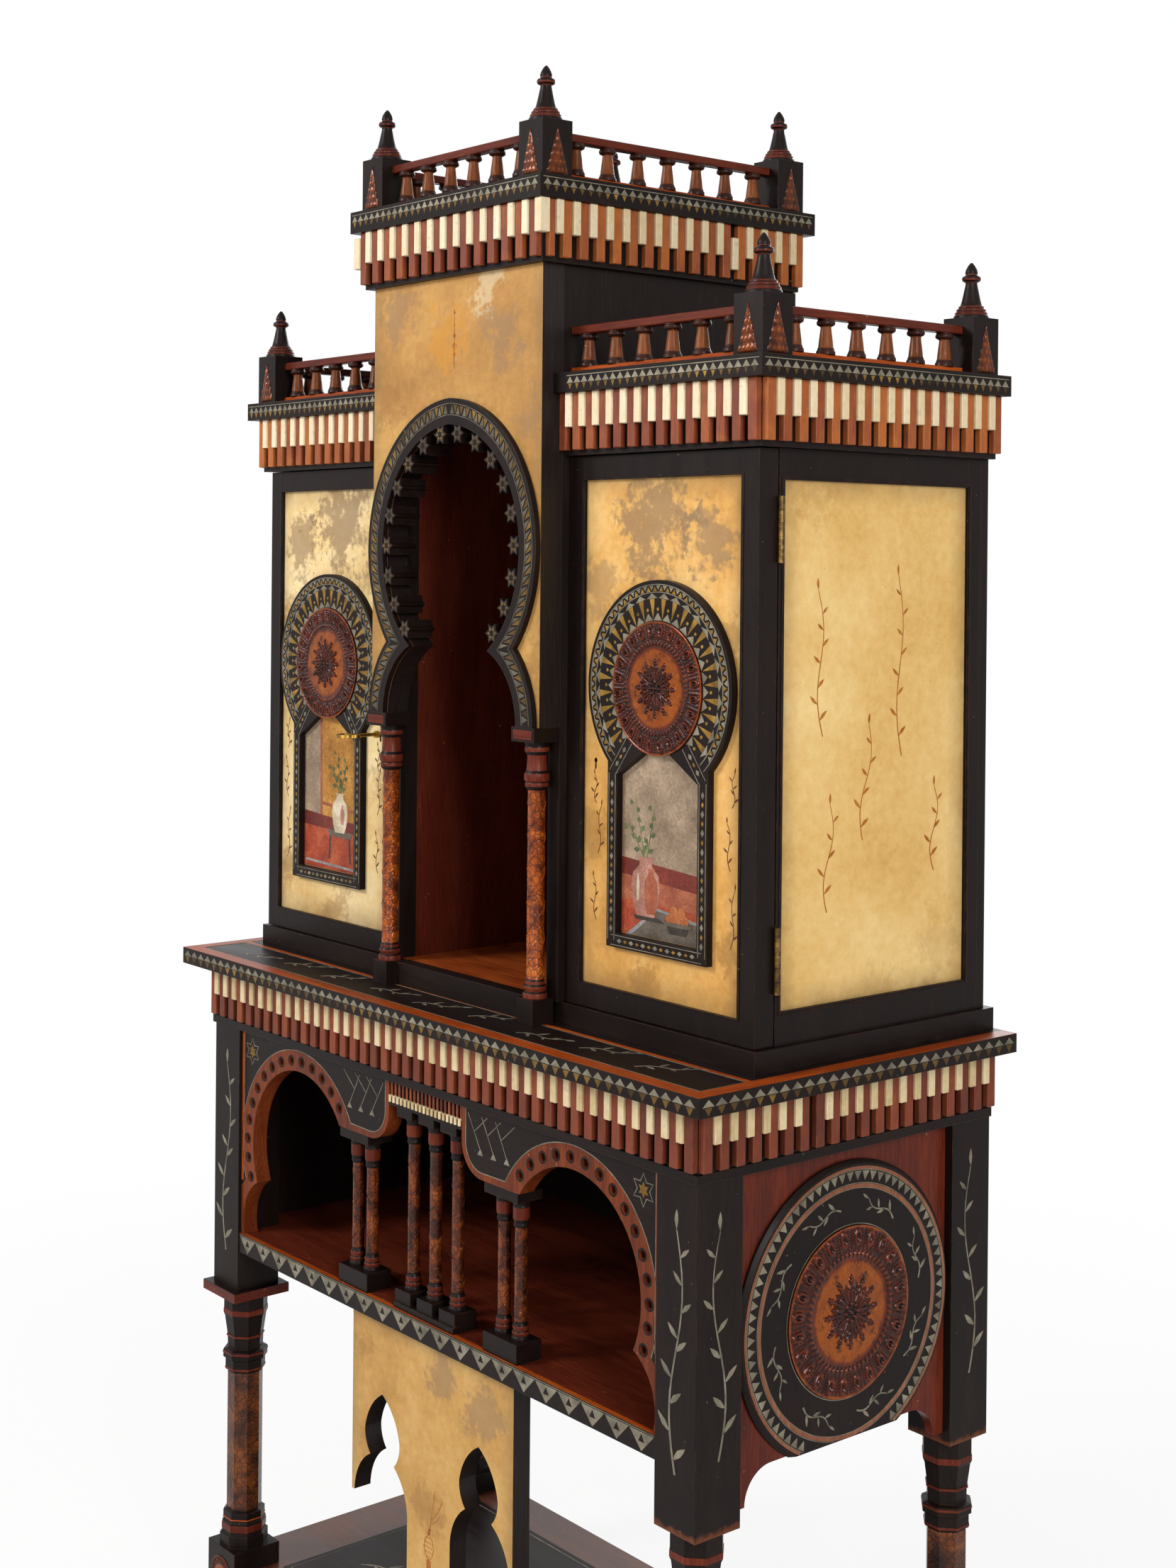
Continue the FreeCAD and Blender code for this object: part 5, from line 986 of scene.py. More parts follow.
def layBar(mesh, face, start, end, inset=0.0, trim=4.0):
    # alternate pewter and brass diamonds between two fine lines
    size = math.dist(start, end)
    au, av = (end[0] - start[0]) / size, (end[1] - start[1]) / size
    run = size - inset * 2
    count = int((run - trim * 2) / surround["pitch"])
    gap = inset + (run - (count - 1) * surround["pitch"]) / 2
    for k in range(count):
        away = gap + k * surround["pitch"]
        cu, cv = start[0] + au * away, start[1] + av * away
        long, short = surround["diamonds"][k % 2]
        layPolygon(mesh, face, [(cu + au * long, cv + av * long), (cu - av * short, cv + au * short),
                                (cu - au * long, cv - av * long), (cu + av * short, cv - au * short)], k % 2)
    for off in (-surround["lineOff"], surround["lineOff"]):
        layBand(mesh, face, [(u - av * off, v + au * off) for u, v in (start, end)], surround["line"])


for sideName, side in doorSides:
    mesh = bmesh.new()
    face = frontFace(doorBoss["face"])
    cu, cv = doorBoss["x"] * side, doorBoss["z"]
    layMedallion(mesh, face, cu, cv)
    mid = surround["half"] - surround["bar"] / 2
    low = surround["bottom"] + surround["bar"] / 2
    crown, rise = surround["crown"]
    for leg in (-1, 1):
        head = (cu + mid * leg, surround["shoulder"] + 2)
        layBar(mesh, face, (cu + mid * leg, low), head)
        layBar(mesh, face, head, (cu + crown * leg, surround["shoulder"] + rise))
    layBar(mesh, face, (cu - mid, low), (cu + mid, low), 6.0, 2.0)
    makePiece(f"door_inlay_{sideName}", mesh, [pewter, brassInlay], body=f"door_{sideName}")
print("door inlay laid")


# painted windows: a still life on each door, laid in thin coats over the panel
window = {"half": 63.7, "bottom": 1012.3, "shoulder": 1180.0, "headHalf": 16.0, "head": 1209.8, "coat": 0.015}


def clipTo(corners, limits):
    # keeps the part of a polygon inside the window, cutting along each edge in turn
    for (au, av), (bu, bv) in zip(limits, limits[1:] + limits[:1]):
        kept = []
        for i, here in enumerate(corners):
            before = corners[i - 1]
            inHere = (bu - au) * (here[1] - av) - (bv - av) * (here[0] - au)
            inBefore = (bu - au) * (before[1] - av) - (bv - av) * (before[0] - au)
            if inHere * inBefore < 0:
                share = inBefore / (inBefore - inHere)
                kept.append(tuple(b + share * (h - b) for b, h in zip(before, here)))
            if inHere >= 0:
                kept.append(here)
        corners = kept
    return corners


def paintWindow(sideName, centre, coats):
    mesh = bmesh.new()
    half, head = window["half"], window["headHalf"]
    limits = oblong(-half, half, window["bottom"], window["shoulder"])
    limits[3:3] = [(head, window["head"]), (-head, window["head"])]
    finishes = []
    for level, (colour, corners) in enumerate(coats):
        if paints[colour] not in finishes:
            finishes.append(paints[colour])
        shown = [(centre + u, v) for u, v in clipTo(corners, limits)]
        if len(shown) > 2:
            layPolygon(mesh, frontFace(doorPanel["face"]), shown, finishes.index(paints[colour]), fieldLow,
                       0.2 + level * window["coat"])
    makePiece(f"door_painting_{sideName}", mesh, finishes, body=f"door_{sideName}")


def jar(cu, foot, tall, wide):
    # outline of a shouldered jar
    shape = [(0.3, 0), (0.42, 0.2), (0.5, 0.5), (0.44, 0.72), (0.22, 0.86), (0.2, 0.95), (0.28, 1)]
    right = [(cu + wide * a, foot + tall * b) for a, b in shape]
    return right + [(2 * cu - u, v) for u, v in right[::-1]]


def branch(cu, cv, lean, length):
    coats = []
    for k in range(6):
        at = polar(cu, cv, length * (k + 1) / 6, lean + 5 * math.sin(k * 1.7))
        turn = lean + (52 if k % 2 else -52)
        tip = polar(*at, 10.5 - k * 0.8, turn)
        aside = polar(*at, 6, turn + 32)
        other = polar(*at, 6, turn - 32)
        coats.append(("leaf", [at, other, tip, aside]))
    end = polar(cu, cv, length * 1.08, lean)
    coats.append(("leaf", [(cu - 0.6, cv), (cu + 0.6, cv), end]))
    return coats


wholeWindow = oblong(-70, 70, 1000, 1220)
rightCoats = [("wall", wholeWindow), ("dado", [(-70, 1094), (70, 1084), (70, 1066), (-70, 1076)]),
              ("skirt", [(-70, 1076), (70, 1066), (70, 1046), (-70, 1050)]),
              ("floor", [(-70, 1050), (70, 1046), (70, 1000), (-70, 1000)]),
              ("mat", [(-52, 1012), (-6, 1043), (68, 1034), (68, 1006)]),
              ("stripe", [(-56, 1012), (-8, 1045), (-3, 1044.5), (-48, 1012)]),
              ("stripe", [(-8, 1045), (68, 1036), (68, 1033), (-5, 1042)])]
rightCoats += branch(-26, 1092, 104, 62) + branch(-24, 1092, 78, 54) + branch(-25, 1092, 126, 44)
rightCoats += [("clay", jar(-25, 1034, 62, 46)), ("skirt", jar(-16, 1037, 48, 22)),
               ("glaze", jar(-37, 1050, 28, 5)), ("shade", [(-44, 1034), (-6, 1034), (8, 1030), (-40, 1030)]),
               ("shade", [(6, 1034), (46, 1034), (39, 1021), (14, 1021)])]
fruitSpots = ((14, 1036), (25, 1035), (37, 1036), (20, 1044), (32, 1044))
rightCoats += [("fruit", roundSpot(cu, cv, 6.2)) for cu, cv in fruitSpots]
rightCoats += [("mat", [(3, 1033), (49, 1033), (46, 1029), (6, 1029)])]
leftCoats = [("wall", wholeWindow), ("cloth", [(-28, 1206), (70, 1206), (70, 1072), (-26, 1080)]),
             ("skirt", [(-28, 1206), (-23, 1206), (-21, 1079.6), (-26, 1080)]),
             ("skirt", [(-26, 1098), (70, 1090), (70, 1086), (-26, 1094)]),
             ("dado", [(-70, 1084), (70, 1074), (70, 1060), (-70, 1066)]),
             ("floor", [(-70, 1066), (70, 1060), (70, 1000), (-70, 1000)]),
             ("stripe", [(-60, 1022), (60, 1018), (60, 1015), (-60, 1019)]),
             ("mat", [(-10, 1064), (50, 1062), (44, 1054), (-4, 1056)]),
             ("shade", [(-4, 1056), (0, 1056), (-2, 1026), (-6, 1026)]),
             ("shade", [(40, 1055), (44, 1055), (46, 1024), (42, 1024)])]
leftCoats += branch(20, 1108, 96, 52) + branch(20, 1108, 70, 44) + branch(20, 1108, 118, 40)
leftCoats += [("glaze", jar(20, 1061, 50, 36)), ("clay", jar(26, 1072, 24, 10))]
paintWindow("right", doorBoss["x"], rightCoats)
paintWindow("left", -doorBoss["x"], leftCoats)

# beads round the panels, ink sprigs on the vellum
bead = {"out": 2.6, "wide": 2.88, "proud": 0.9, "doorFace": -126.0, "sideFace": 464.0}
doorSprigs = ((212, 1020, 46), (214, 1092, 52), (211, 1146, 30), (424, 1018, 60), (423, 1096, 48),
              (425, 1160, 34))   # across, height, length
sideSprigs = ((-30, 1230, 93, 150, 7), (30, 1120, 86, 120, 6), (88, 1205, 92, 190, 8),
              (-22, 1050, 88, 110, 5), (140, 1080, 90, 90, 5))   # across, height, lean, length, leaves


def layBead(mesh, face, left, right, panel):
    out = bead["out"]
    path = oblong(left - out, right + out, panel["bottom"] - out, panel["top"] + out)
    layBand(mesh, face, path, bead["wide"], 0, True, inlayLow, bead["proud"])


for sideName, side in doorSides:
    mesh = bmesh.new()
    left, right = sorted((doorPanel["inner"] * side, doorPanel["outer"] * side))
    layBead(mesh, frontFace(bead["doorFace"]), left, right, doorPanel)
    makePiece(f"door_bead_{sideName}", mesh, [ebonyUpright], body=f"door_{sideName}")
    mesh = bmesh.new()
    for k, (u, v, tall) in enumerate(doorSprigs):
        sway = (-1) ** k
        sprig(mesh, frontFace(doorPanel["face"]), u * side, v, 90 + 6 * sway, tall, leaves=4, leaf=9,
              width=0.9, sway=3 * sway)
    makePiece(f"door_ink_{sideName}", mesh, [brownInk], body=f"door_{sideName}")
mesh = bmesh.new()
for side in (-1, 1):
    layBead(mesh, sideFace(bead["sideFace"] * side), sidePanel["front"], sidePanel["back"], sidePanel)
makePiece("side_beads", mesh, [ebonyUpright])
mesh = bmesh.new()
for side in (-1, 1):
    for u, v, lean, tall, count in sideSprigs:
        sprig(mesh, sideFace(sidePanel["face"] * side), u, v, lean, tall, count, leaf=15, width=1.3,
              sway=6)
face = frontFace(towerPanel["face"])   # a small pendant drop over the arch, drawn with the pen
layBand(mesh, face, [(0, 1694), (0, 1626)], 0.7)
for v, half in ((1690, 2.0), (1676, 1.4), (1664, 3.0), (1652, 5.2), (1643, 3.0), (1632, 1.2)):
    layPolygon(mesh, face, [(-half, v), (0, v - half * 1.3), (half, v), (0, v + half * 0.8)], 0)
face = frontFace(supportPanel["face"])   # a hanging drop low on the support panel
for path, width in (([(4, 303), (7, 322), (13, 351)], 0.8), ([(6, 316), (20, 330), (27, 343)], 0.7),
                    ([(7, 312), (17, 318), (22, 325)], 0.6), ([(3, 305), (1, 298)], 4.2)):
    layBand(mesh, face, path, width)
pouch = [(2, 299), (9, 292), (11, 283), (8, 274), (2, 269), (-5, 274), (-8, 283), (-5, 292)]
layBand(mesh, face, pouch, 1.1, 0, True)
for k, half in enumerate((3, 6, 7, 6, 3)):
    for u in range(-half, half + 1, 4):
        layPolygon(mesh, face, starCorners(1.6 + u + 0.8 * (k % 2), 294 - 5.4 * k, 1.5, 0.7, 4), 0)
layPolygon(mesh, face, [(-2, 269), (6, 269), (8.6, 214), (1.5, 205), (-4.4, 214)], 0)
makePiece("ink_sprigs", mesh, [sepiaInk])
print("doors painted, beads and ink laid")


# edges: pewter triangles that point up over bronze spikes that point down, along straight runs;
# on the shelf's fascia large pewter triangles that point down, each with a black eye
tableEdge = {"pitch": 17.0, "foot": 890.0, "tip": 897.2, "spikeTop": 889.2, "spikeTip": 881.0, "share": 0.6,
             "run": (-496.0, 496.0), "sideRun": (-228.0, 228.0)}
slabEdge = {"pitch": 12.0, "foot": -12.4, "tip": -5.4, "spikeTop": -13.0, "spikeTip": -19.4, "share": 0.5,
            "line": -4.2, "lineWide": 0.9}
fasciaEdge = {"face": -200.0, "reach": 404.0, "count": 21, "top": 540.4, "tip": 521.4, "half": 18.7,
              "eye": (4.8, 530.6, 538.8), "eyeProud": 0.32, "line": 541.8, "lineWide": 0.8}
tableTop = {"z": 900.0, "half": 500.0, "front": -232.25, "back": 232.0, "field": 480.0, "border": -213.0,
            "strip": (-151.0, -144.0)}
towerSlab = {"top": 1823.6, "front": -187.1, "side": 185.6, "run": (-182.0, 182.0),
             "sideRun": (-183.0, 224.0)}
wingSlab = {"top": 1611.4, "front": -149.0, "side": 490.0, "run": (186.0, 486.0),
            "sideRun": (-145.0, 221.0)}


def layTriangleRow(mesh, face, start, end, edge, level=0.0):
    count = max(1, round((end - start) / edge["pitch"]))
    step = (end - start) / count
    foot, tip, spikeTop, spikeTip = [level + edge[key] for key in ("foot", "tip", "spikeTop", "spikeTip")]
    for k in range(count):
        mid = start + (k + 0.5) * step
        layPolygon(mesh, face, spike(mid, step * 0.47, foot, tip), 0)
        layPolygon(mesh, face, spike(mid, step * edge["share"] / 2, spikeTop, spikeTip), 2)


mesh = bmesh.new()
layTriangleRow(mesh, frontFace(tableTop["front"]), *tableEdge["run"], tableEdge)
slabs = [(frontFace(towerSlab["front"]), *towerSlab["run"], towerSlab["top"])]
for side in (-1, 1):
    layTriangleRow(mesh, sideFace(tableTop["half"] * side), *tableEdge["sideRun"], tableEdge)
    slabs += [(sideFace(slab["side"] * side), *slab["sideRun"], slab["top"])
              for slab in (towerSlab, wingSlab)]
    slabs.append((frontFace(wingSlab["front"]), *sorted(u * side for u in wingSlab["run"]), wingSlab["top"]))
for face, start, end, top in slabs:
    level = top + slabEdge["line"]
    layBand(mesh, face, [(start, level), (end, level)], slabEdge["lineWide"])
    layTriangleRow(mesh, face, start, end, slabEdge, top)
face, reach = frontFace(fasciaEdge["face"]), fasciaEdge["reach"]
for k in range(fasciaEdge["count"]):
    mid = reach * (2 * (k + 0.5) / fasciaEdge["count"] - 1)
    layPolygon(mesh, face, spike(mid, fasciaEdge["half"], fasciaEdge["top"], fasciaEdge["tip"]), 0)
    layPolygon(mesh, face, spike(mid, *fasciaEdge["eye"]), 1, inlayLow, fasciaEdge["eyeProud"])
layBand(mesh, face, [(-reach, fasciaEdge["line"]), (reach, fasciaEdge["line"])], fasciaEdge["lineWide"])
makePiece("edge_inlay", mesh, [pewter, ebonyAcross, bronzeInlay])
print("edge inlay laid")


# table top: polished border, two black fields with a bright strip between, sprigs let into the front field
mesh = bmesh.new()
face, half, field, border = topFace(tableTop["z"]), tableTop["half"], tableTop["field"], tableTop["border"]
layPolygon(mesh, face, oblong(-half, half, tableTop["front"] + 0.05, border), 0, fieldLow, 0.12)
for ends in ((-half, -field), (field, half)):
    layPolygon(mesh, face, oblong(*ends, border, tableTop["back"]), 1, fieldLow, 0.12)
layPolygon(mesh, face, oblong(-field, field, *tableTop["strip"]), 0, fieldLow, 0.14)
makePiece("table_border", mesh, [padoukAcross, padoukDeep])
mesh = bmesh.new()
layBand(mesh, face, oblong(1 - field, field - 1, border + 1, tableTop["strip"][0] - 1), 1.0, 0, True)
for k in range(9):
    sprig(mesh, face, -420 + k * 98, -196 + 8 * (k % 2), lean=18 + 12 * (k % 3), length=62, leaves=4, leaf=17,
          width=1.6)
makePiece("table_inlay", mesh, [pewter])


# horseshoe arch of the niche: lines and a zigzag that follow its two circles, stars on its prisms
nicheArch = {"face": -172.0, "haunchX": 42.0, "haunchZ": 1225.0, "haunch": 118.0, "crownX": -8.6,
             "crownZ": 1420.0, "crown": 172.2, "lineOut": 6.0, "lineIn": 19.0, "pitch": 12.0, "stars": 9,
             "starRing": 133.2, "starArc": (79.0, -45.0), "rimStar": (9.6, 5.2), "blackStar": (8.4, 4.5),
             "starPoints": (4.0, 7.4)}


def archHalf(inset, side, steps=48):
    # from the impost to the tip
    ha, hr = (nicheArch["haunchX"], nicheArch["haunchZ"]), nicheArch["haunch"] - inset
    ca, cr = (nicheArch["crownX"], nicheArch["crownZ"]), nicheArch["crown"] - inset
    dx, dz = ha[0] - ca[0], ha[1] - ca[1]
    apart = math.hypot(dx, dz)
    along = (cr * cr - hr * hr + apart * apart) / (2 * apart)
    off = math.sqrt(cr * cr - along * along)
    cusp = (ca[0] + (dx * along - dz * off) / apart, ca[1] + (dz * along + dx * off) / apart)
    low = math.degrees(math.atan2(cusp[1] - ha[1], cusp[0] - ha[0]))
    turn = math.degrees(math.atan2(cusp[1] - ca[1], cusp[0] - ca[0]))
    tip = math.degrees(math.acos(-ca[0] / cr))
    haunch, crown = arcPath(*ha, hr, 1.0, low, steps // 3), arcPath(*ca, cr, turn, tip, steps)
    return mirrored(haunch, side), mirrored(crown, side)


mesh = bmesh.new()
face = frontFace(nicheArch["face"])
for side in (-1, 1):
    for inset in (nicheArch["lineOut"], nicheArch["lineIn"]):
        haunch, crown = archHalf(inset, side)
        layBand(mesh, face, haunch + crown[1:], 1.0)
    for outer, inner in zip(archHalf(nicheArch["lineOut"] + 1.4, side, 400),
                            archHalf(nicheArch["lineIn"] - 1.4, side, 400)):
        count = int(sum(math.dist(a, b) for a, b in zip(outer, outer[1:])) / nicheArch["pitch"])
        last = len(outer) - 1
        for k in range(count):
            a, m, b = [int((k + share) * last / count) for share in (0.2, 0.5, 0.8)]
            layPolygon(mesh, face, [inner[a], inner[b], outer[m]], 0)
            if k:
                q = int(k * last / count)
                w = max(1, int(0.32 * last / count))
                layPolygon(mesh, face, [outer[q - w], outer[min(last, q + w)], inner[q]], 1)
starSpots = arcPath(nicheArch["crownX"], nicheArch["crownZ"], nicheArch["starRing"], *nicheArch["starArc"],
                    nicheArch["stars"] - 1)
for u, v in mirrored(starSpots, -1) + starSpots:
    layPolygon(mesh, face, starCorners(u, v, *nicheArch["rimStar"], 6, 0), 0)
    layPolygon(mesh, face, starCorners(u, v, *nicheArch["blackStar"], 6, 0), 2, inlayHigh - 0.05,
               inlayHigh + 0.1)
    for k in range(6):   # six bronze points round a black middle
        layPolygon(mesh, face, wedge(u, v, *nicheArch["starPoints"], 60 * k, 24), 1, inlayHigh,
                   inlayHigh + 0.2)
makePiece("niche_arch_inlay", mesh, [pewterDull, bronzeInlay, ebonyUpright])
print("niche arch inlaid")


# arcade of the stand: stringing along the bands, stars, slanting lines with arrow feet, lintel billets
arcade = {"face": -197.0, "cx": 268.0, "cz": 664.7, "outer": 135.5, "cuspZ": 616.0, "footZ": 736.0,
          "top": 804.0, "lobe": (110.0, 766.0, 30.4), "end": (403.5, 612.0, 5.0),
          "endLine": (400.2, 622.0, 0.8),
          "holes": (123.0, -20.99, 136.92, 15), "mouth": (4.8, 7.0), "star": (381.0, 780.0, 17.0),
          "slants": (((84, 797), (107, 760)), ((109, 797), (131, 760)), ((134, 797), (155, 760)))}
mesh = bmesh.new()
face = frontFace(arcade["face"])
for side in (-1, 1):
    cusp, foot = [math.degrees(math.asin((z - arcade["cz"]) / arcade["outer"]))
                  for z in (arcade["cuspZ"], arcade["footZ"])]
    edge = arcPath(arcade["cx"], arcade["cz"], arcade["outer"] + 0.4, cusp, 180 - foot, 90)
    edge += arcPath(*arcade["lobe"], 270, 180, 18)
    edge.append((arcade["lobe"][0] - arcade["lobe"][2], arcade["top"]))
    layBand(mesh, face, mirrored(edge, side), 1.1)
    for (u, low, width), finish in ((arcade["end"], 2), (arcade["endLine"], 0)):
        layBand(mesh, face, [(u * side, low), (u * side, arcade["top"])], width, finish)
    cu, cv, reach = arcade["star"]
    layBand(mesh, face, starCorners(cu * side, cv, reach, reach * 0.55, 6), 1.2, 0, True)
    layPolygon(mesh, face, starCorners(cu * side, cv, reach * 0.5, reach * 0.26, 6), 1)
    middle, start, end, count = arcade["holes"]
    inner, outer = arcade["mouth"]
    for cu, cv in arcPath(arcade["cx"], arcade["cz"], middle, start, end, count - 1):
        # each drilled hole gets a black ring round it: painted shade for the hole's shaded inner wall
        layBand(mesh, face, arcPath(cu * side, cv, (inner + outer) / 2, 0, 345, 23), outer - inner, 3, True)
    for top, low in arcade["slants"]:
        fork = ((top[0] + low[0]) / 2, (top[1] + low[1]) / 2)
        layBand(mesh, face, mirrored((top, low), side), 0.9)
        layBand(mesh, face, mirrored((fork, (fork[0] + 24, top[1] + 1)), side), 0.8)
        layPolygon(mesh, face, mirrored(spike(low[0], 5.2, low[1] - 5.6, low[1] + 2), side), 0)
makePiece("arcade_inlay", mesh, [pewter, brassInlay, padoukUpright, ebonyUpright])
lintel = {"count": 19, "pitch": 7.6, "seed": 5, "red": (1.7, -196.0, -191.0, 786.6, 804.4, 0.4),
          "cream": (1.8, -199.0, -190.8, 778.6, 787.0, 0.5)}   # half width, front, back, low, high, ease
mesh = bmesh.new()
tone = mesh.faces.layers.float.new("tone")
shade = random.Random(lintel["seed"])
for k in range(lintel["count"]):
    u = (k - (lintel["count"] - 1) / 2) * lintel["pitch"]
    for finish, (kind, tones) in enumerate((("red", (0.15, 0.55)), ("cream", (0.1, 0.5)))):
        half, front, back, low, high, ease = lintel[kind]
        value = shade.uniform(*tones)
        addBlock(mesh, (u - half, front, low), (u + half, back, high), ease, finish, (tone, value))
makePiece("lintel_billets_eased", mesh, [redBillet, creamBillet])
print("arcade inlaid")


# side discs: pearwood bands, pewter lines, teeth and sprigs, cut off by the haunch of the panel
disc = {"y": 13.25, "z": 636.0, "x": 463.0, "cut": 506.5, "teeth": 76, "toothFoot": 143.4, "toothTip": 133.6,
        "bands": ((146.6, 3.2, 1), (144.6, 0.7, 0), (131.0, 0.7, 0), (128.2, 4.2, 1), (125.8, 0.7, 0),
                  (89.4, 1.0, 0)), "sprigs": 8, "sprigRing": 106.0}
mesh = bmesh.new()
for side in (-1, 1):
    face = sideFace(disc["x"] * side)
    for radius, width, finish in disc["bands"]:
        reach = disc["z"] - disc["cut"]
        spare = math.degrees(math.acos(min(1.0, reach / radius))) if radius > reach else 0
        path = arcPath(disc["y"], disc["z"], radius, -90 + spare, 270 - spare, 160)
        layBand(mesh, face, path if spare else path[:-1], width, finish, not spare)
    step = 360 / disc["teeth"]
    for k in range(disc["teeth"]):
        corners = wedge(disc["y"], disc["z"], disc["toothFoot"], disc["toothTip"], k * step, step * 0.44)
        if min(v for u, v in corners) > disc["cut"]:
            layPolygon(mesh, face, corners, 0)
    for k in range(disc["sprigs"]):
        at = 20 + 360 * k / disc["sprigs"]
        foot = polar(disc["y"], disc["z"], disc["sprigRing"], at - 13)
        sprig(mesh, face, *foot, lean=at + 78, length=46, leaves=4, leaf=14, width=1.8, sway=-4)
makePiece("disc_inlay", mesh, [pewter, pearBand])


# posts: a tall leaf sprig on the front and outer side faces
stand = {"legX": 436.4, "legY": (-171.5, 198.0), "postHalf": 30.0, "blockHalf": 33.0, "blockZ": 93.0}
mesh = bmesh.new()
for side in (-1, 1):
    face = frontFace(stand["legY"][0] - stand["postHalf"])
    sprig(mesh, face, stand["legX"] * side, 515, lean=90, length=240, leaves=9, leaf=25, width=2.4, sway=9)
    face = sideFace((stand["legX"] + stand["postHalf"]) * side)
    for y in stand["legY"]:
        sprig(mesh, face, y, 530, lean=90, length=225, leaves=8, leaf=24, width=2.3, sway=-9)
makePiece("post_inlay", mesh, [pewter])
print("discs and posts inlaid")


# gallery posts: embossed copper triangles on the front and outer side faces
galleryPosts = [(459, -118, wingSlab["top"]), (459, 194, wingSlab["top"]), (154.6, -156.1, towerSlab["top"]),
                (154.6, 197.5, towerSlab["top"])]
postCopper = {"out": 20.75, "up": 2.0, "wide": 31.0, "tall": 52.0, "rows": 26, "columns": 20, "stud": 2.4,
              "studPitch": 6.0, "studRows": (0.10, 0.27, 0.44, 0.60, 0.75)}
mesh = bmesh.new()
layer = mesh.verts.layers.float.new("relief")


def layTriangleBoss(face, cu, low):
    # a shallow triangle with rows of round studs
    rows, columns, tall = postCopper["rows"], postCopper["columns"], postCopper["tall"]
    grid = []
    for i in range(rows + 1):
        v = i / rows
        half = postCopper["wide"] / 2 * (1 - v)
        line = []
        for k in range(columns + 1):
            across = 2 * k / columns - 1
            u = across * half
            high = 0.5 + 0.7 * (1 - abs(across))
            for n, level in enumerate(postCopper["studRows"]):
                for m in range(5 - n):
                    place = (m - (4 - n) / 2) * postCopper["studPitch"]
                    near = math.hypot(u - place, (v - level) * tall)
                    high += 1.3 * bump(near, postCopper["stud"])
            rim = min(k, columns - k, i, rows - i) == 0
            vert = mesh.verts.new(face(cu + u, low + v * tall, inlayLow if rim else high))
            # tone rises with height: studs lightened as painted highlight, the sunk edge darkened as painted
            # shade
            vert[layer] = 0.12 if rim else 0.22 + 0.27 * high / 1.6
            line.append(vert)
        grid.append(line)
    for i in range(rows):
        for k in range(columns):
            mesh.faces.new((grid[i][k], grid[i][k + 1], grid[i + 1][k + 1], grid[i + 1][k]))
    mesh.faces.new([*grid[0], *[line[-1] for line in grid[1:]], *[line[0] for line in grid[-2:0:-1]]])


for x, y, z in galleryPosts:
    for side in (-1, 1):
        layTriangleBoss(sideFace((x + postCopper["out"]) * side), y, z + postCopper["up"])
        if y < 0:
            layTriangleBoss(frontFace(y - postCopper["out"]), x * side, z + postCopper["up"])
bmesh.ops.remove_doubles(mesh, verts=mesh.verts, dist=0.01)
makePiece("gallery_post_copper", mesh, [copperPost], None, 50)
print("gallery posts dressed")


# stand: shelf edge, platform field, dressed legs; imposts of the niche
impost = {"inner": 127.0, "outer": 160.0, "low": 1212.0, "high": 1222.0, "proud": 0.4}
shelf = {"top": 543.4, "half": 406.0, "front": -199.8, "edge": -193.0}
platform = {"top": 105.0, "half": 388.0, "front": -142.0, "back": 172.0, "inset": 8.0}
mesh = bmesh.new()
edge = oblong(-shelf["half"], shelf["half"], shelf["front"], shelf["edge"])
layPolygon(mesh, topFace(shelf["top"]), edge, 0, fieldLow, fieldHigh)
for side in (-1, 1):
    corners = mirrored(oblong(impost["inner"], impost["outer"], impost["low"], impost["high"]), side)
    layPolygon(mesh, frontFace(nicheArch["face"]), corners, 1, fieldLow, impost["proud"])
makePiece("shelf_edge_and_imposts", mesh, [padoukAcross, mahoganyLintel])
mesh = bmesh.new()
face, half, front, back = topFace(platform["top"]), platform["half"], platform["front"], platform["back"]
layPolygon(mesh, face, oblong(-half, half, front, back), 0, fieldLow, fieldHigh)
makePiece("platform_field", mesh, [ebonyAcross])
mesh = bmesh.new()
inset = platform["inset"]
border = oblong(inset - half, half - inset, front + inset, back - inset)
layBand(mesh, face, border, 1.2, 0, True, fieldLow, fieldHigh + 0.2)
for k in range(7):
    sprig(mesh, face, -330 + k * 96, -60 + 70 * (k % 3) / 2, lean=20 + 40 * (k % 2), length=105, leaves=5,
          leaf=26, width=2.4, sway=8)
makePiece("platform_inlay", mesh, [pewter])

legShaft = [(22.2, 178, 0), (22.5, 179, 0), (22.5, 353.4, 0), (22.2, 354.4, 0)]
# radius, foot, top and finish of each band
legBands = [(28.0, 429.6, 437.0, 1), (23.9, 399.6, 402.6, 1), (28.6, 378.4, 381.6, 1),
            (25.6, 358.0, 361.2, 1), (28.0, 150.4, 160.0, 1), (26.8, 165.4, 167.6, 2)]
rosette = {"radius": 26.0, "relief": 3.0, "radial": 40, "around": 192}
mesh = bmesh.new()
for x in (-stand["legX"], stand["legX"]):
    for y in stand["legY"]:
        turnShape(mesh, x, y, legShaft, 8, 22.5)
        for radius, low, high, finish in legBands:
            turnShape(mesh, x, y, [(radius - 0.2, low, finish), (radius + 0.7, low + 0.8, finish),
                                   (radius + 0.7, high - 0.8, finish), (radius - 0.2, high, finish)], 8, 22.5)
makePiece("leg_bands", mesh, [brownShaft, mahoganyDark, padoukUpright])
mesh = bmesh.new()
mesh.verts.layers.float.new("relief")
for side in (-1, 1):
    spots = [(sideFace((stand["legX"] + stand["blockHalf"]) * side), y) for y in stand["legY"]]
    spots.append((frontFace(stand["legY"][0] - stand["blockHalf"]), stand["legX"] * side))
    for face, u in spots:
        makeBoss(mesh, face, u, stand["blockZ"], *rosette.values())
makePiece("leg_block_rosettes", mesh, [copperBoss], None, 60)
print("stand dressed")


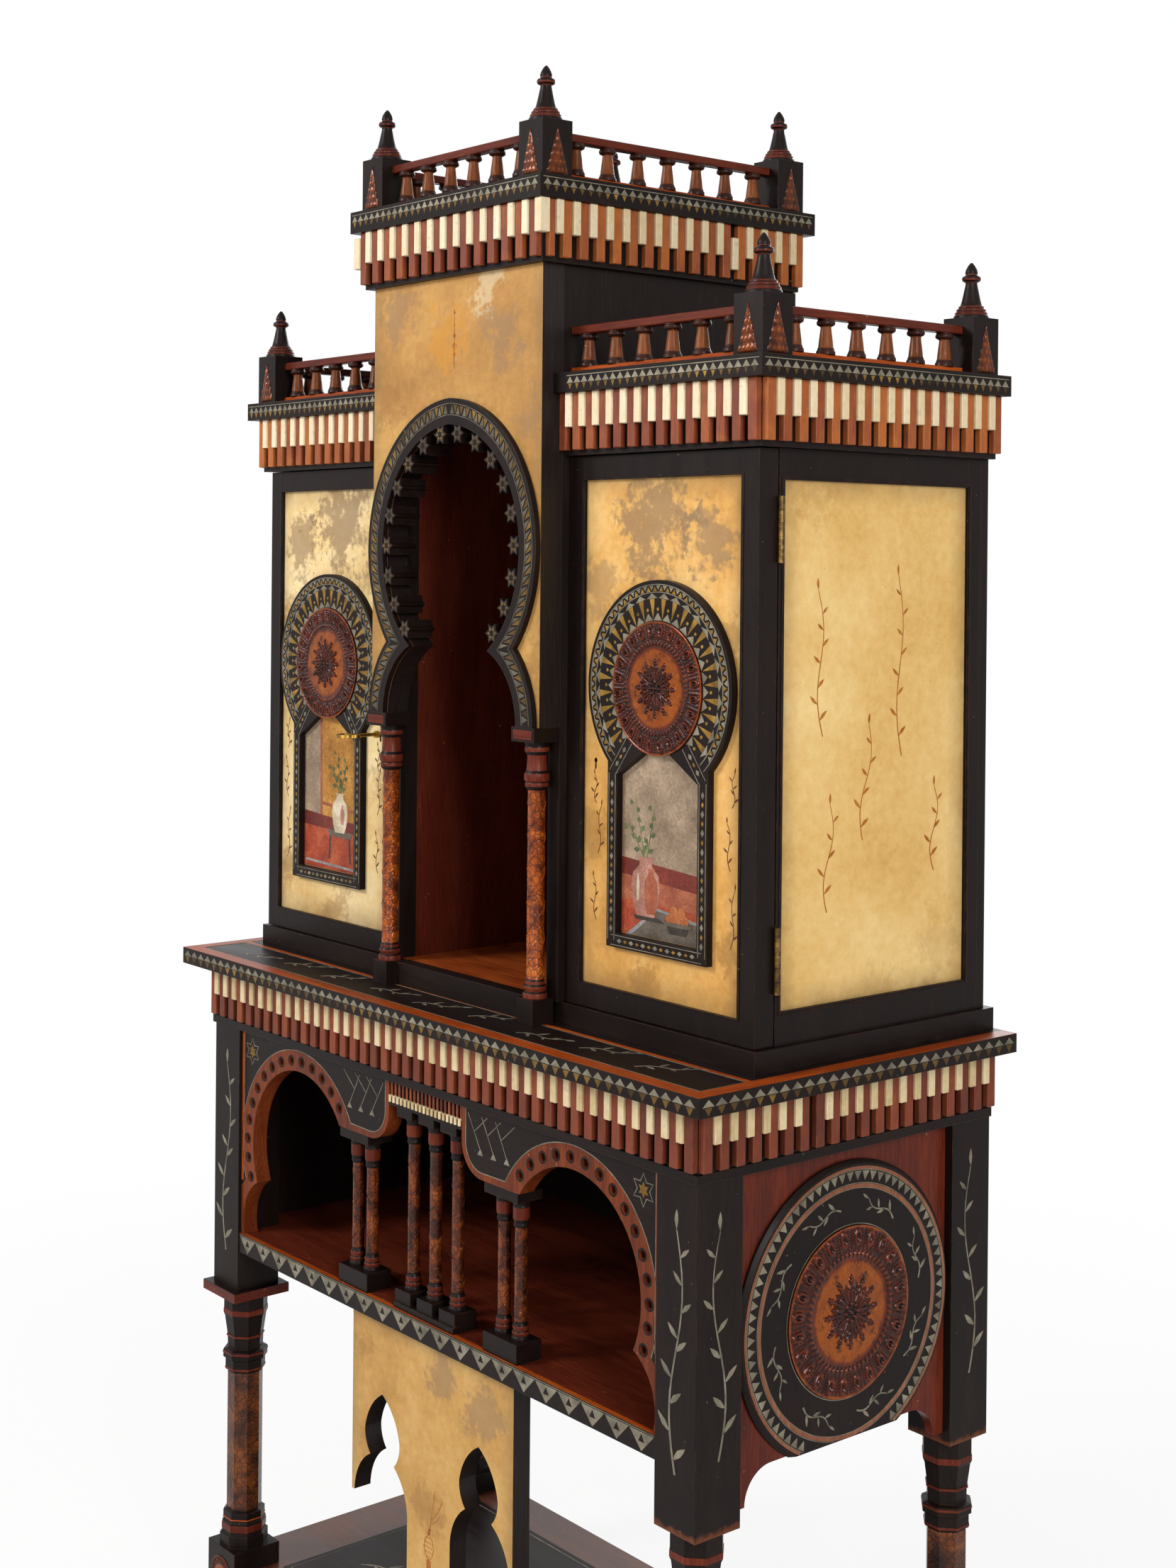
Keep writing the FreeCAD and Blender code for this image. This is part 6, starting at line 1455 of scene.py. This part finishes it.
# back: upright boards over the carcase and the stand, screwed at their ends and middles
# left, right, low, high, face and number of boards
backs = [(-462, 462, 926, 1519, 219.0, 9), (-161, 161, 1524, 1728, 219.0, 3), (-405, 405, 521, 802, 228.0, 8)]
backBoard = {"thick": 2.6, "gap": 0.7, "ease": 0.9, "screw": 4.2, "slot": (3.6, 0.5), "screwIn": (14.0, 16.0)}
mesh = bmesh.new()
across, up = backBoard["screwIn"]
long, short = backBoard["slot"]
for left, right, low, high, face, count in backs:
    wide = (right - left) / count
    outside = backFace(face + backBoard["thick"])
    for k in range(count):
        near, far = left + k * wide + backBoard["gap"], left + (k + 1) * wide - backBoard["gap"]
        addBlock(mesh, (near, face - 0.5, low), (far, face + backBoard["thick"], high), backBoard["ease"], 0)
        for u, v in product((near + across, far - across), (low + up, (low + high) / 2, high - up)):
            layPolygon(mesh, outside, roundSpot(u, v, backBoard["screw"]), 1, -0.3, 0.5)
            layPolygon(mesh, outside, oblong(u - long, u + long, v - short, v + short), 0, 0.3, 0.55)
makePiece("back_boards", mesh, [dealBoards, ironBlack])
print("back boarded")


# stage: pale floor, soft studio light, white beyond
def seenRays(add):
    # 1 for rays that meet the surround straight, in a mirror or through glass
    rays = add("LightPath", out=None)
    seen = add("Math", {0: rays["Is Camera Ray"], 1: rays["Is Glossy Ray"]}, operation="MAXIMUM")
    return add("Math", {0: seen, 1: rays["Is Transmission Ray"]}, operation="MAXIMUM")


floor = {"spread": 9.0, "rows": 12, "below": 0.0005}   # in metres


def makeFloor():
    mesh = bmesh.new()
    bmesh.ops.create_grid(mesh, x_segments=floor["rows"], y_segments=floor["rows"], size=floor["spread"])
    bmesh.ops.translate(mesh, vec=(0, 0, -floor["below"]), verts=mesh.verts)
    data = bpy.data.meshes.new("studioFloor")
    mesh.to_mesh(data)
    mesh.free()
    # matt paper floor: white to the eye, with the object's soft shadow kept
    material = bpy.data.materials.new("paperMattFloor")
    material.use_nodes = True
    material.node_tree.nodes.clear()
    add = partial(addNode, material.node_tree)
    paper = add("BsdfDiffuse", {"Color": "#f4f3f1"})
    glow = add("Emission", {"Color": "#ffffff", "Strength": 1.0})
    place = add("NewGeometry", out="Position")
    away = add("VectorMath", {0: place}, "Value", operation="LENGTH")
    fade = add("MapRange", {"Value": away, "From Min": 0.7, "From Max": 2.6, "To Min": 0.86, "To Max": 1.0})
    share = add("Math", {0: seenRays(add), 1: fade}, operation="MULTIPLY")
    mixed = add("MixShader", {0: share, 1: paper, 2: glow})
    add("OutputMaterial", {"Surface": mixed}, None)
    data.materials.append(material)
    ground = bpy.data.objects.new("studioFloor", data)
    bpy.context.scene.collection.objects.link(ground)


makeFloor()
world = bpy.data.worlds.new("studioWorld")
bpy.context.scene.world = world
world.use_nodes = True
world.node_tree.nodes.clear()
add = partial(addNode, world.node_tree)
dim = add("Background", {"Color": "#ffffff", "Strength": 0.14})
white = add("Background", {"Color": "#ffffff", "Strength": 1.0})
sky = add("MixShader", {0: seenRays(add), 1: dim, 2: white})
add("OutputWorld", {"Surface": sky}, None)

# name: place in metres, aim, size in metres, watts
lamps = {"keySoftbox": ((-1.4, -3.2, 3.0), (0, 0, 1.2), (1.2, 1.2), 116),
         "rightSoftbox": ((3.4, -1.25, 2.2), (0.2, 0, 1.1), (1.0, 1.8), 104),
         "frontFill": ((0.9, -3.6, 1.3), (0, 0, 1.0), (1.8, 1.8), 28),
         "backRim": ((-1.5, 2.8, 2.6), (0, 0, 1.3), (1.4, 1.4), 45)}
for name, (place, aim, size, watts) in lamps.items():
    lamp = bpy.data.lights.new(name, "AREA")
    lamp.shape = "RECTANGLE"
    lamp.size, lamp.size_y = size
    lamp.energy = watts
    holder = bpy.data.objects.new(name, lamp)
    holder.location = place
    holder.rotation_euler = (Vector(aim) - Vector(place)).to_track_quat("-Z", "Y").to_euler()
    bpy.context.scene.collection.objects.link(holder)

# camera solved from the straight edges of the photograph
view = {"place": (1.9896, -1.5885, 1.4036), "right": (0.6394, 0.7688, 0.0091), "down": (0.0079, 0.0053, -1.0),
        "forward": (-0.7688, 0.6395, -0.0027), "lens": 48.99, "shift": (-0.0127, -0.1364)}
eye = bpy.data.cameras.new("photoCamera")
eye.sensor_fit = "AUTO"
eye.sensor_width = 36.0
eye.lens = view["lens"]
eye.shift_x, eye.shift_y = view["shift"]
camera = bpy.data.objects.new("photoCamera", eye)
bpy.context.scene.collection.objects.link(camera)
turn = Matrix((view["right"], [-c for c in view["down"]], [-c for c in view["forward"]])).transposed()
camera.matrix_world = Matrix.Translation(view["place"]) @ turn.to_4x4()
bpy.context.scene.camera = camera
bpy.context.scene.view_settings.view_transform = "Standard"
print("stage, lamps and camera set")
